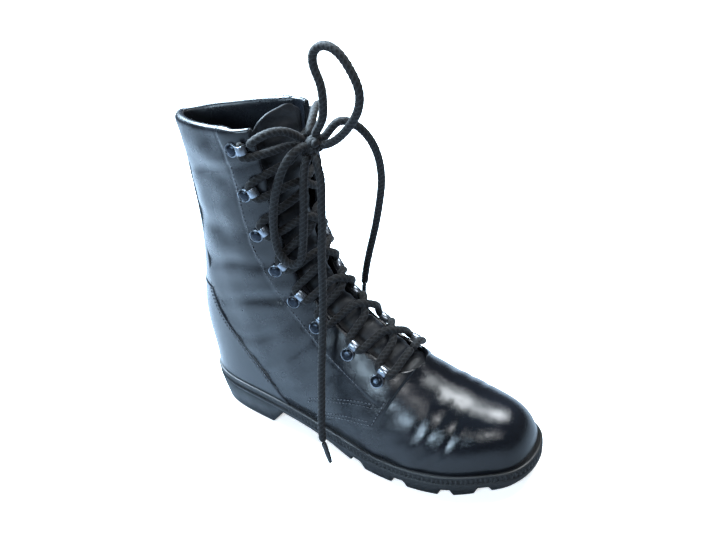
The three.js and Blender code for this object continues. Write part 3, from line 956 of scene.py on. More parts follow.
@dataclass(frozen=True)
class Metal(Finish):
    """Black-lacquered metal, worn bright where the wear attribute is high."""

    name: str = "lacquered_metal"
    colour: tuple = (0.020, 0.025, 0.034)
    worn: tuple = (0.33, 0.37, 0.43)

    def paint(self, tree: bpy.types.NodeTree, shader: bpy.types.Node) -> None:
        """Fills in the metal's nodes.

        Args:
            tree: the material's nodes.
            shader: its Principled shader.
        """
        link = tree.links.new
        where = node(tree, "ShaderNodeTexCoord")
        wear = node(tree, "ShaderNodeAttribute", attribute_name="wear")
        spots = node(tree, "ShaderNodeTexNoise", Scale=420.0, Detail=5.0, Roughness=0.7)
        link(where.outputs["Object"], spots.inputs["Vector"])
        added = node(tree, "ShaderNodeMath", operation="MULTIPLY_ADD")
        added.inputs[1].default_value = 0.6
        link(spots.outputs["Fac"], added.inputs[0])
        link(wear.outputs["Fac"], added.inputs[2])
        mask = spread(tree, added.outputs[0], (0.45, 1.25), (0, 1))
        link(blend_colours(tree, mask, self.colour, self.worn), shader.inputs["Base Color"])
        link(spread(tree, spots.outputs["Fac"], (0.3, 0.7), (0.2, 0.38)), shader.inputs["Roughness"])
        shader.inputs["Metallic"].default_value = 0.9


@dataclass(frozen=True)
class Cloth(Finish):
    """Dark woven cloth of the insole and lining."""

    name: str = "insole_cloth"
    colour: tuple = (0.05, 0.045, 0.04)
    lighter: tuple = (0.11, 0.10, 0.09)

    def paint(self, tree: bpy.types.NodeTree, shader: bpy.types.Node) -> None:
        """Fills in the cloth's nodes.

        Args:
            tree: the material's nodes.
            shader: its Principled shader.
        """
        link = tree.links.new
        where = node(tree, "ShaderNodeTexCoord")
        warp = node(tree, "ShaderNodeTexWave", Scale=260.0, Distortion=0.4)
        weft = node(tree, "ShaderNodeTexWave", Scale=260.0, Distortion=0.4, bands_direction="Y")
        link(where.outputs["Object"], warp.inputs["Vector"])
        link(where.outputs["Object"], weft.inputs["Vector"])
        both = node(tree, "ShaderNodeMath", operation="MULTIPLY")
        link(warp.outputs["Fac"], both.inputs[0])
        link(weft.outputs["Fac"], both.inputs[1])
        link(blend_colours(tree, both.outputs[0], self.colour, self.lighter), shader.inputs["Base Color"])
        emboss(tree, shader, both.outputs[0], 0.4, 0.0003)
        shader.inputs["Roughness"].default_value = 0.9


@dataclass(frozen=True)
class Plastic(Finish):
    """Smooth dark plastic of the lace tips."""

    name: str = "aglet_plastic"
    colour: tuple = (0.008, 0.008, 0.01)

    def paint(self, tree: bpy.types.NodeTree, shader: bpy.types.Node) -> None:
        """Fills in the plastic's nodes.

        Args:
            tree: the material's nodes.
            shader: its Principled shader.
        """
        link = tree.links.new
        where = node(tree, "ShaderNodeTexCoord")
        smudge = node(tree, "ShaderNodeTexNoise", Scale=300.0, Detail=4.0)
        link(where.outputs["Object"], smudge.inputs["Vector"])
        link(spread(tree, smudge.outputs["Fac"], (0.3, 0.7), (0.15, 0.4)), shader.inputs["Roughness"])
        shader.inputs["Base Color"].default_value = (*self.colour, 1)


UPPER_LEATHER = Leather(polish_from=0.04, polish_to=0.08)
COUNTER_LEATHER = Leather(name="counter_leather", dull=0.26, bright=0.14, wrinkles=0.6, relief=0.3)
TONGUE_LEATHER = Leather(name="tongue_leather", dull=0.6, bright=0.4, wrinkles=1.2, relief=0.5,
                         shine=0.35, coat=0.0)
STRIP_LEATHER = Leather(name="strip_leather")
THREAD = Braid(name="thread", colour=(0.03, 0.033, 0.038), lighter=(0.12, 0.13, 0.15), rough=0.55,
               least_highlight=0.8)


# ---------------------------------------------------------------- leather pieces


@dataclass(frozen=True)
class Crease:
    """A soft trough in the leather between two points of the side view, with ridges beside it."""

    side: Side
    start: tuple[float, float]
    end: tuple[float, float]
    width: float
    depth: float
    bow: float = 0.0

    def height(self, points: Array, centre: Array) -> Array:
        """How far the crease moves points of the form in or out.

        Args:
            points: the points.
            centre: the middle of the form across, at each of them.

        Returns:
            Offsets, in millimetres.
        """
        start = np.array(self.start)
        run = np.array(self.end) - start
        size = np.linalg.norm(run)
        run = run / size
        flat = points[..., [0, 2]] - start
        along = flat @ run
        t = np.clip(along / size, 0, 1)
        off = flat @ np.array([-run[1], run[0]]) - self.bow * 4 * t * (1 - t)
        past = np.maximum(0, np.maximum(-along, along - size))
        fade = np.sqrt(np.maximum(np.sin(math.pi * np.clip((along + 6) / (size + 12), 0, 1)), 0))
        trough = -bump(off, self.width)
        beside, wide = 1.8 * self.width, 1.2 * self.width
        ridges = 0.55 * (bump(off - beside, wide) + bump(off + beside, wide))
        near = smooth(2, 16, self.side.value * (points[..., 1] - centre))
        return self.depth * (trough + ridges) * fade * bump(past, 6) * near


CREASES = [
    Crease(Side.OUTER, (118, 130), (44, 112), 4.5, 1.5, -5),
    Crease(Side.OUTER, (110, 112), (52, 80), 4.0, 1.1, 4),
    Crease(Side.OUTER, (128, 104), (84, 66), 3.5, 0.9, 3),
    Crease(Side.OUTER, (96, 158), (24, 142), 5.5, 1.3, -4),
    Crease(Side.OUTER, (90, 190), (28, 182), 7.0, 0.9, 4),
    Crease(Side.OUTER, (84, 222), (30, 228), 7.0, 0.7, -3),
    Crease(Side.OUTER, (150, 86), (112, 52), 4.0, 0.8, 3),
    Crease(Side.OUTER, (240, 58), (230, 30), 2.4, 0.4, 2),
    Crease(Side.OUTER, (231, 60), (219, 30), 2.6, 0.34, -2),
    Crease(Side.OUTER, (218, 62), (206, 32), 3.2, 0.34, 2),
    Crease(Side.INNER, (116, 132), (44, 116), 4.5, 1.3, -4),
    Crease(Side.INNER, (108, 112), (56, 84), 4.5, 1.1, 4),
    Crease(Side.INNER, (130, 102), (88, 66), 4.0, 0.8, 3),
    Crease(Side.INNER, (94, 160), (26, 148), 5.5, 1.2, 4),
    Crease(Side.INNER, (88, 196), (28, 190), 6.5, 0.9, -3),
    Crease(Side.INNER, (239, 58), (231, 30), 2.4, 0.36, 2),
    Crease(Side.INNER, (229, 60), (219, 30), 2.6, 0.34, -2),
    Crease(Side.INNER, (216, 64), (206, 32), 3.2, 0.34, 2),
]

# Seams and rows of stitches, as points of the side view.
QUARTER_OUTER = [(206, 90), (195, 72), (189, 59), (182.5, 44.5), (165, 42), (150, 38.5), (133, 33),
                 (116, 27), (90, 18)]
QUARTER_INNER = [(206, 90), (195, 72), (190, 58), (186, 45), (160, 46), (132, 48), (106, 50), (60, 52)]
STAY_LINE = [(78, 259), (83, 243), (85, 226), (85, 208), (85, 190), (87, 171), (92, 152), (99, 134),
             (108, 119), (119, 106), (132, 94), (149, 81), (166, 71), (182, 62)]
ROWS_OUTER = [
    [(180, 46.3), (165, 44.4), (150, 41.1), (136, 36.5), (126, 32.6)],
    [(178, 48.9), (165, 47.2), (150, 44), (137, 39.8), (128, 36.3)],
    [(181, 59.2), (168, 58.6), (150, 54.4), (132, 48.6), (118, 42.5)],
    [(182, 61.8), (168, 61.2), (150, 57), (132, 51.2), (118, 45.2)],
    [(181, 47), (184.6, 55), (188.6, 65)],
]
ROWS_INNER = [
    [(184, 47.6), (160, 48.6), (132, 50.8), (108, 52.6)],
    [(182, 50.4), (160, 51.4), (132, 53.6), (110, 55.4)],
    [(183.5, 50), (187, 58), (190.6, 66)],
]


@dataclass
class Upper:
    """The hollow leather upper with its collar band, lace opening, creases and rolled top."""

    rows: int = 214
    columns: int = 84
    roll_steps: int = 7
    band: float = 0.9
    groove: float = 0.5
    quarter: float = 0.8
    facing: float = 0.55
    seam: float = 0.4
    rim: float = 0.8
    waves: float = 0.42

    def row_sections(self) -> Array:
        """Section numbers of the rows, closer together round the foot of the opening.

        Returns:
            The numbers, rising.
        """
        first = float(bisect(0.5, 3.0, lambda s: self.over_sole(np.array(s), np.array(0.0))))
        even = np.linspace(first, COLLAR, self.rows)
        foot = THROAT_FOOT + THROAT_ROUND * np.linspace(0, 1, 26) ** 2
        apart = (even < THROAT_FOOT - 0.01) | (even > THROAT_FOOT + THROAT_ROUND + 0.01)
        return np.unique(np.concatenate([even[apart], foot]))

    def over_sole(self, s: Array, angle: Array) -> Array:
        """How far points of the form are above where the upper ends on the sole."""
        points = FORM.ring(s, angle)
        return points[..., 2] - FORM.sole_top(points[..., 0]) + 1.5

    def spans(self, s: Array, side: float) -> tuple[Array, Array]:
        """The angles of each row, evenly spaced over the leather, and the distances from its start.

        Args:
            s: the section numbers of the rows.
            side: -1 for the outer side, 1 for the inner side.

        Returns:
            Angles and distances, a row of each for a section.
        """
        start = np.where(s > THROAT_FOOT, np.abs(FORM.angle_at(s, FORM.throat_half(s), side)), 0.0)
        whole = self.over_sole(s, np.full_like(s, math.pi)) > 0
        end = bisect(start, np.full_like(s, math.pi), lambda t: -self.over_sole(s, side * t))
        end = np.where(whole, math.pi, np.maximum(end, start))
        share = np.linspace(0, 1, 240)
        angles = start[:, None] + (end - start)[:, None] * share
        points = FORM.ring(s[:, None], side * angles)
        steps = np.linalg.norm(np.diff(points, axis=1), axis=2)
        run = np.concatenate([np.zeros((len(s), 1)), np.cumsum(steps, axis=1)], axis=1)
        even = np.linspace(0, 1, self.columns)
        out = np.empty((len(s), self.columns))
        for i in range(len(s)):
            total = max(run[i, -1], 1e-9)
            out[i] = np.interp(even * total, run[i], angles[i])
        return side * out, even * run[:, -1:]

    def relief(self, s: Array, angle: Array, away: Array, side: float) -> Array:
        """How far the leather's outside stands off the form.

        Args:
            s: section numbers.
            angle: angles.
            away: distances from the edge of the opening.
            side: the side.

        Returns:
            Offsets, in millimetres.
        """
        points = FORM.ring(s, angle)
        centre = FORM.column["centre"](s)
        x, z = points[..., 0], points[..., 2]
        out = self.band * smooth(BAND_FOOT, BAND_FOOT + 0.12, s)
        out = out - self.groove * bump(s - BAND_FOOT, 0.045)
        opened = smooth(THROAT_FOOT, THROAT_FOOT + 0.4, s)
        edge = QUARTER_OUTER if side < 0 else QUARTER_INNER
        within = signed_distance(points[..., [0, 2]], edge)
        out = out + self.quarter * smooth(-0.7, 0.5, within) * smooth(2.0, 8.0, z - FORM.sole_top(x))
        heights = [point[1] for point in STAY_LINE[::-1]]
        line = Spline(heights, [point[0] for point in STAY_LINE[::-1]])
        stay = line(np.clip(z, heights[0], heights[-1]))
        behind = (stay - x) * 0.8
        faced = smooth(60, 66, z) * opened
        out = out + self.facing * smooth(0.8, -0.8, behind) * faced - self.seam * bump(behind, 1.0) * faced
        out = out - self.rim * smooth(1.6, 0.0, away) * opened
        for crease in CREASES:
            if crease.side.value == side:
                out = out + crease.height(points, centre)
        wave = (np.sin(x * 0.11 + z * 0.07 + 1.3 * side) * np.sin(z * 0.09 - x * 0.05 + 0.7)
                + 0.6 * np.sin(x * 0.21 - z * 0.17 + 2.1) * np.sin(z * 0.23 + 0.4 * side))
        calm = 1 - smooth(215, 245, x)
        seamed = smooth(1, 12, np.abs(points[..., 1] - centre))
        return out + self.waves * wave * calm * seamed

    def build(self) -> None:
        """Makes the upper and dresses it."""
        s = self.row_sections()
        points: list[Array] = []
        faces: list[Array] = []
        start = 0
        for side in (Side.OUTER.value, Side.INNER.value):
            angle, away = self.spans(s, side)
            rows = np.repeat(s[:, None], self.columns, axis=1)
            outside = FORM.lift(rows, angle, self.relief(rows, angle, away, side))
            soft = smooth(BAND_FOOT - 0.4, BAND_FOOT, rows) * smooth(*FACING, np.abs(angle))
            inside = FORM.lift(rows, angle, -WALL - PADDING * soft)
            centre = FORM.column["centre"](rows)
            inside[..., 1] = centre + side * np.maximum(side * (inside[..., 1] - centre), 0)
            back = np.minimum(FORM.column["backX"](rows) + WALL + PADDING, outside[..., 0] + 40)
            inside[..., 0] = np.where(np.abs(angle) > 1.9, np.maximum(inside[..., 0], back), inside[..., 0])
            middle = (outside[-1] + inside[-1]) / 2
            half = (outside[-1] - inside[-1]) / 2
            size = np.linalg.norm(half, axis=1, keepdims=True)
            turns = np.linspace(0, math.pi, self.roll_steps + 2)[1:-1]
            over = np.array([0.05, 0, 1.0])
            roll = [middle + half * math.cos(t) + over * size * math.sin(t) for t in turns]
            skin = np.concatenate([outside, np.array(roll), inside[::-1]])
            count = skin.shape[0]
            flip = side > 0
            faces.append(grid_faces(count, self.columns, start, flip))
            number = start + np.arange(count * self.columns).reshape(count, self.columns)
            inner = number[::-1]
            short = np.abs(angle[:, -1]) < math.pi - 1e-6
            for column, use, turned in ((0, s > THROAT_FOOT, flip), (-1, short, not flip)):
                chosen = np.nonzero(use[:-1] & use[1:] | (use[1:] if column == 0 else use[:-1]))[0]
                skinned, lined = number[:, column], inner[:, column]
                wall = np.array([(skinned[i], lined[i], lined[i + 1], skinned[i + 1]) for i in chosen])
                faces.append(wall[:, ::-1] if turned else wall)
            top = number[len(s) - 1 : count - len(s) + 1, 0]
            faces.append(np.array([(top[i], top[i + 1], top[-2 - i], top[-1 - i])[:: -1 if flip else 1]
                                   for i in range((len(top) - 1) // 2)]))
            points.append(skin.reshape(-1, 3))
            start += count * self.columns
        upper = new_mesh("boot_upper", np.concatenate(points), np.concatenate(faces), merge=0.02)
        outward(upper)
        dress(upper, UPPER_LEATHER, "leather", "upper")


@dataclass
class Overlay:
    """A thin piece of leather sewn on the form: one grid of points a side, standing proud."""

    height: float = OVERLAY + GAP
    root: float = -0.5

    def body(self, s: Array, angle: Array, edges: Array) -> tuple[Array, Array]:
        """A closed piece over a grid.

        Args:
            s: section numbers.
            angle: angles.
            edges: distances in from the cut edges, 0 on them.

        Returns:
            Points and faces.
        """
        share = 0.72 * smooth(-0.05, 0.3, edges) + 0.28 * smooth(0.2, 1.6, edges)
        top = FORM.lift(s, angle, self.root + (self.height - self.root) * share)
        return closed_patch(top, FORM.lift(s, angle, np.full(s.shape, self.root - 0.6)))


@dataclass
class HeelPieces:
    """The outside heel counter and the back stay above it."""

    top: float = 123.0
    stay_top: float = 226.0
    rows: int = 96
    columns: int = 72
    rounds: int = 12

    def back(self, z: Array) -> Array:
        """How far back the form reaches at each height.

        Args:
            z: the heights.

        Returns:
            How far forward its back is there.
        """
        z = np.asarray(z, float)
        s = bisect(np.zeros_like(z), np.full_like(z, 17.0), lambda t: FORM.column["backZ"](t) - z)
        return FORM.column["backX"](s)

    def build(self) -> None:
        """Makes both pieces and dresses them."""
        edge = Spline([z for _, z in COUNTER_EDGE[::-1]], [x for x, _ in COUNTER_EDGE[::-1]])
        stay = Spline([z for _, z in STAY_EDGE[::-1]], [x for x, _ in STAY_EDGE[::-1]])
        self.make("boot_heel_counter", Overlay(), lambda x: FORM.sole_top(x) - 0.8, self.top, edge,
                  COUNTER_LEATHER, "counter_leather", "heel_counter")
        foot = self.top + 2 * GAP
        self.make("boot_back_stay", Overlay(height=OVERLAY - 0.1), lambda x: np.full_like(x, foot),
                  self.stay_top, stay, STRIP_LEATHER, "leather", "back_stay")

    def make(self, name: str, overlay: Overlay, foot: Callable[[Array], Array], top: float, edge: Spline,
             finish: Finish, slot: str, cad: str) -> None:
        """Makes one piece round the back of the boot.

        Args:
            name: its name.
            overlay: its thickness.
            foot: the height of its lower edge for each x.
            top: the height of its upper edge.
            edge: the x of its front edge for each height.
            finish: its finish.
            slot: its material slot.
            cad: the node it stands for.
        """
        rows, columns = self.rows, self.columns
        v = np.linspace(0, 1, rows)[:, None]
        u = np.linspace(0, 1, columns)[None, :] ** 2
        z = np.broadcast_to(foot(np.zeros(1)) + (top - foot(np.zeros(1))) * v, (rows, columns))
        for _ in range(self.rounds):
            back = self.back(z)
            x = back + (edge(z) - back) * u
            low = foot(x)
            z = low + (top - low) * v
        back = self.back(z)
        x = back + (edge(z) - back) * u
        parts = []
        for side in (Side.OUTER, Side.INNER):
            s, angle = FORM.place(x, z, side.value)
            angle = np.where(u == 0, side.value * math.pi, angle)
            slant = np.cos(np.arctan(np.abs((edge(z + 1) - edge(z - 1)) / 2)))
            edges = np.minimum((edge(z) - x) * slant, top - z)
            edges[:, -1] = 0
            edges[-1, :] = 0
            verts, faces = overlay.body(s, angle, edges)
            keep = [f for f in faces.tolist() if not self.on_back(f, columns, rows)]
            parts.append((verts, [f[::-1] for f in keep] if side is Side.INNER else keep))
        verts, faces = join_parts(parts)
        piece = new_mesh(name, verts, faces, merge=0.02)
        outward(piece)
        dress(piece, finish, slot, cad)

    @staticmethod
    def on_back(face: Sequence[int], columns: int, rows: int) -> bool:
        """Tells whether a face is the wall on the back line, where the two halves meet."""
        count = rows * columns
        return all(i % count % columns == 0 for i in face)


@dataclass
class Stitching:
    """Rows of stitches along the seams, each stitch a small twisted bead of thread."""

    pitch: float = 3.1
    stitch: float = 2.2
    thick: float = 0.74

    def row(self, points: Array, normals: Array) -> list[tuple[Array, list]]:
        """Stitches at an even pitch along a run of points.

        Args:
            points: the run.
            normals: outward directions at its points.

        Returns:
            The points and faces of each stitch.
        """
        run = distances(points)
        parts = []
        for at in np.arange(self.pitch / 2, run[-1] - self.pitch / 2, self.pitch):
            ends = [
                np.array([np.interp(at + k * self.stitch / 2, run, points[:, j]) for j in range(3)])
                for k in (-1, 1)
            ]
            normal = unit(np.array([np.interp(at, run, normals[:, j]) for j in range(3)]))
            along = unit(ends[1] - ends[0])
            wide = np.cross(normal, along)
            rings = []
            for share, size in ((0.12, 0.75), (0.5, 1.0), (0.88, 0.75)):
                middle = ends[0] + (ends[1] - ends[0]) * share + normal * 0.12 * size
                for turn in range(5):
                    a = 2 * math.pi * turn / 5
                    rings.append(middle + (wide * math.cos(a) + normal * math.sin(a)) * self.thick / 2 * size)
            verts = np.array([*rings, ends[0] - normal * 0.1, ends[1] - normal * 0.1])
            faces = [(r * 5 + i, r * 5 + (i + 1) % 5, (r + 1) * 5 + (i + 1) % 5, (r + 1) * 5 + i)
                     for r in range(2) for i in range(5)]
            faces += [(15, (i + 1) % 5, i) for i in range(5)]
            faces += [(16, 10 + i, 10 + (i + 1) % 5) for i in range(5)]
            parts.append((verts, faces))
        return parts

    def on_path(self, path: Path, offset: float) -> list[tuple[Array, list]]:
        """Stitches along a path on the form."""
        return self.row(path.points(offset), FORM.normal(path.s, path.angle))

    def build(self) -> None:
        """Makes every row of stitches as one piece."""
        parts = []
        for side in (Side.OUTER, Side.INNER):
            parts += self.on_path(Path.from_side([(x + 1.6, z) for x, z in STAY_LINE[:-1]], side), 1.55)
            for row in ROWS_OUTER if side is Side.OUTER else ROWS_INNER:
                parts += self.on_path(Path.from_side(row, side), 1.05)
            for across in (2.4, 5.2):
                inset = [(x - across * 0.86, z - across * 0.3) for x, z in COUNTER_EDGE[:-1]]
                parts += self.on_path(Path.from_side(inset, side), OVERLAY + GAP + 0.05)
            for across in (2.6, 5.4):
                beyond = [(x + across * 0.86, z + across * 0.4) for x, z in COUNTER_EDGE[:-1]]
                parts += self.on_path(Path.from_side(beyond, side), 0.15)
            s = np.full(160, BAND_FOOT - 0.07)
            a0 = float(np.abs(FORM.angle_at(s[:1], FORM.throat_half(s[:1]), side.value))[0]) + 0.12
            angle = side.value * np.linspace(a0, math.pi - 0.04, 160)
            parts += self.on_path(Path(s, angle), 0.1)
        verts, faces = join_parts(parts)
        dress(new_mesh("stitching", verts, faces), THREAD, "leather")


@dataclass
class Tongue:
    """The tongue with its soft folds, sunk between the edges of the opening."""

    rows: int = 200
    columns: int = 44

    def build(self) -> None:
        """Makes the tongue and dresses it."""
        u = np.linspace(0, 1, self.columns)[None, :]
        share = np.linspace(0, 1, self.rows)[:, None]
        crown = TONGUE_TOP - 0.5 * np.abs(2 * u - 1) ** 3.2
        s = TONGUE_FOOT + (crown - TONGUE_FOOT) * share
        lap = FORM.throat_half(np.maximum(s, THROAT_FOOT + THROAT_ROUND)) + TONGUE_LAP
        half = np.minimum(lap, FORM.column["outer"](s) - WALL)
        left = FORM.angle_at(s, half, -1)
        right = FORM.angle_at(s, half, 1)
        angle = left + (right - left) * u
        middle = 1 - (2 * u - 1) ** 2
        rows = np.broadcast_to(s, angle.shape)
        folds = 0.8 * np.sin(rows * 7.0 + 1.5 * np.sin(u * 5)) * middle
        folds = folds + 0.5 * np.sin(rows * 17 + u * 9) * middle
        gusset = -1.2 * bump(u - 0.14, 0.03) - 1.2 * bump(u - 0.86, 0.03)
        sunk = -WALL - 3 * GAP - FORM.column["sink"](rows) * middle
        top = sunk + np.minimum(folds, 0.4) + gusset - 0.3
        edge = np.minimum(np.minimum(u, 1 - u) * 30, 1.0) * np.minimum((crown - rows) * 12 + 0.2, 1.0)
        thick = TONGUE * (0.5 + 0.5 * edge)
        upper = FORM.lift(rows, angle, top)
        lower = FORM.lift(rows, angle, top - thick)
        verts, faces = closed_patch(upper, lower)
        piece = new_mesh("boot_tongue", verts, faces)
        outward(piece)
        dress(piece, TONGUE_LEATHER, "tongue_leather", "tongue")


# ---------------------------------------------------------------- sole and insole


@dataclass
class Outline:
    """The line in plan where the upper stands on the sole."""

    stations: int = 300
    line: Array = field(init=False)
    normals: Array = field(init=False)

    def __post_init__(self) -> None:
        """Finds the line: from the heel round the outer side to the toe and back."""

        def inside(x: Array) -> Array:
            """Above zero where the form stands on the sole at x."""
            s, _ = FORM.place(x, FORM.sole_top(x), 1)
            fx, fz, bx, bz = (FORM.column[k](s) for k in ("frontX", "frontZ", "backX", "backZ"))
            whole = (bx - fx) ** 2 + (bz - fz) ** 2
            along = ((x - fx) * (bx - fx) + (FORM.sole_top(x) - fz) * (bz - fz)) / whole
            return np.where((along > 0) & (along < 1), 1.0, -1.0)

        back = float(bisect(-15.0, 40.0, inside))
        front = float(bisect(250.0, 310.0, lambda x: -inside(x)))
        turn = math.pi * np.arange(1, self.stations) / self.stations
        x = back + (front - back) * (1 - np.cos(turn)) / 2
        sides = []
        for side in (-1, 1):
            s, angle = FORM.place(x, FORM.sole_top(x), side)
            sides.append(np.stack([x, FORM.ring(s, angle)[:, 1]], 1))
        outer, inner = sides
        middles = (outer[:, 1] + inner[:, 1]) / 2
        tips = [np.array([[value, middles[k]]]) for value, k in ((back, 0), (front, -1))]
        self.line = np.concatenate([tips[0], outer, tips[1], inner[::-1]])
        run = unit(np.roll(self.line, -1, axis=0) - np.roll(self.line, 1, axis=0))
        self.normals = np.stack([run[:, 1], -run[:, 0]], 1)
        for _ in range(6):
            beside = np.roll(self.normals, 1, axis=0), np.roll(self.normals, -1, axis=0)
            self.normals = unit(self.normals + beside[0] + beside[1])

    def at(self, distance: Array) -> Array:
        """The line moved outwards."""
        return self.line + self.normals * np.broadcast_to(distance, (len(self.line),))[:, None]

    def run(self) -> Array:
        """How far along the line each point is."""
        return distances(self.line)


def level(flat: Array, height: Array) -> Array:
    """Points of a plan at given heights."""
    return np.concatenate([flat, np.broadcast_to(height, (len(flat),))[:, None]], 1)


def planks(levels: list[Array]) -> tuple[Array, list]:
    """A closed body between outlines one above the other, with planks across both ends.

    Args:
        levels: the outlines, from the lowest.

    Returns:
        Points and faces.
    """
    count = len(levels[0])
    half = count // 2
    number = np.arange(count * len(levels)).reshape(len(levels), count)
    after = np.roll(number, -1, axis=1)
    quads = np.stack([number[:-1], after[:-1], after[1:], number[1:]], -1).reshape(-1, 4).tolist()
    faces: list = [tuple(q) for q in quads]
    for base, up in ((0, False), (count * (len(levels) - 1), True)):
        caps = [(0, 1, count - 1), (half, half + 1, half - 1)]
        caps += [(i, i + 1, count - i - 1, count - i) for i in range(1, half - 1)]
        faces += [tuple(base + i for i in (cap if up else cap[::-1])) for cap in caps]
    return np.concatenate(levels), faces


@dataclass
class Sole:
    """The moulded sole: heel, waist, lugs and the ribbed band round its edge."""

    rib_pitch: float = 3.4
    rib_height: float = 1.25
    rib_from: float = 92.0
    line: Outline = field(default_factory=lambda: Outline(620))

    def underside(self, x: Array) -> Array:
        """Height of the underside with its grooves.

        Args:
            x: how far forward.

        Returns:
            Heights over the floor.
        """
        z = FORM.under(x)
        for middle, mouth in GROOVES:
            cut = np.clip((mouth / 2 + 1.0 - np.abs(x - middle)) / 2.6, 0, 1)
            z = z + TREAD * cut * (FORM.under(x) < 12)
        return z

    def build(self) -> None:
        """Makes the sole and dresses it."""
        line = self.line
        run = line.run()
        x = line.line[:, 0]
        top = FORM.sole_top(x)
        under = self.underside(x)
        forward = smooth(self.rib_from, self.rib_from + 8, x)
        ribs = smooth(-0.5, 0.2, np.cos(2 * math.pi * run / self.rib_pitch)) * forward
        heel = 1 - smooth(70, 96, x)
        lower = RAND - TAPER

        def ring(distance: Array, height: Array) -> Array:
            """The outline moved outwards, at given heights."""
            return level(line.at(distance), height)

        body = np.maximum(top - LIP, under + 3)
        band = body + (top - body) * 0.14
        levels = [
            ring(-12.0, under + 0.0),
            ring(lower - 1.6, under),
            ring(lower - 0.5, under + 0.35),
            ring(lower, under + 1.3),
            ring(lower + (RAND - lower) * 0.5, (under + body) / 2),
            ring(RAND - 0.25, body - 0.8),
            ring(RAND - 0.35 - 0.6 * heel, body),
            ring(RAND - 0.1, band),
            ring(RAND - 0.1, top - 6.9),
            ring(RAND - 1.1 - 0.3 * heel, top - 6.4),
            ring(RAND - 1.2 + self.rib_height * ribs, top - 6.0),
            ring(RAND - 1.1 + self.rib_height * ribs, top - 4.0),
            ring(RAND - 1.2 + self.rib_height * ribs, top - 2.0),
            ring(RAND - 1.2, top - 1.6),
            ring(RAND - 0.1, top - 1.2),
            ring(RAND - 0.15, top - 0.45),
            ring(RAND - 0.7, top),
            ring(1.4, top - 0.1),
            ring(0.2, top - 0.7),
            ring(-4.0, top - 0.9),
        ]
        # No level dips under the one before it, up to where the band's top rounds over.
        for i in range(1, 15):
            levels[i][:, 2] = np.maximum(levels[i][:, 2], levels[i - 1][:, 2])
        verts, faces = planks(levels)
        piece = new_mesh("boot_sole", verts, faces)
        outward(piece)
        dress(piece, Rubber(), "rubber", "sole")


@dataclass
class Insole:
    """A board with cloth over it and a shallow seat for the heel."""

    def build(self) -> None:
        """Makes the insole and dresses it."""
        line = Outline(160)
        x = line.line[:, 0]
        foot = FORM.sole_top(x) + GAP
        inset = -WALL - 4 * GAP
        profile = [(-1.0, 0.0), (0.0, 0.8), (0.0, INSOLE - 0.6), (-0.8, INSOLE), (-7.0, INSOLE - 0.5),
                   (-14.0, INSOLE - 0.9)]
        levels = [level(line.at(inset + out), foot + up) for out, up in profile]
        verts, faces = planks(levels)
        piece = new_mesh("boot_insole", verts, faces)
        outward(piece)
        dress(piece, Cloth(), "insole_cloth", "insole")


# ---------------------------------------------------------------- eyelets


@dataclass(frozen=True)
class EyeletPlace:
    """Where an eyelet stands: its section, and its frame with X to the ridge and Z outwards."""

    name: str
    s: float
    origin: Array
    inward: Array
    edge: Array
    normal: Array

    def point(self, x: float, y: float, z: float) -> Array:
        """A point given in the eyelet's own frame."""
        return self.origin + self.inward * x + self.edge * y + self.normal * z


def eyelet_places() -> dict[Side, list[EyeletPlace]]:
    """The places of all eyelets, from the collar down on each side.

    Returns:
        A list for each side.
    """
    places: dict[Side, list[EyeletPlace]] = {Side.OUTER: [], Side.INNER: []}
    for side, label in ((Side.OUTER, "outer"), (Side.INNER, "inner")):
        for number, (x, z) in enumerate(EYELETS, 1):
            s, outer = (float(v) for v in FORM.place(x, z, -1))
            half = FORM.throat_half(s)
            edges = {k: FORM.ring(s, FORM.angle_at(s, half, k)) for k in (-1, 1)}
            away = np.linalg.norm(edges[-1] - FORM.ring(s, outer))
            start = float(FORM.angle_at(s, half, 1))

            def past(t: Array) -> Array:
                """How much further from the inner edge than away the form is at angle t."""
                return np.linalg.norm(edges[1] - FORM.ring(s, t), axis=-1) - away

            inner = float(bisect(start, math.pi, past))
            angle = outer if side is Side.OUTER else inner
            origin = FORM.ring(s, angle)
            normal = FORM.normal(np.array(s), np.array(angle))
            inward = unit(FORM.ring(s, angle - side.value * 1e-3) - origin)
            edge = unit(np.cross(normal, inward))
            name = f"eyelet_{label}_{number}"
            places[side].append(EyeletPlace(name, s, origin, np.cross(edge, normal), edge, normal))
    return places


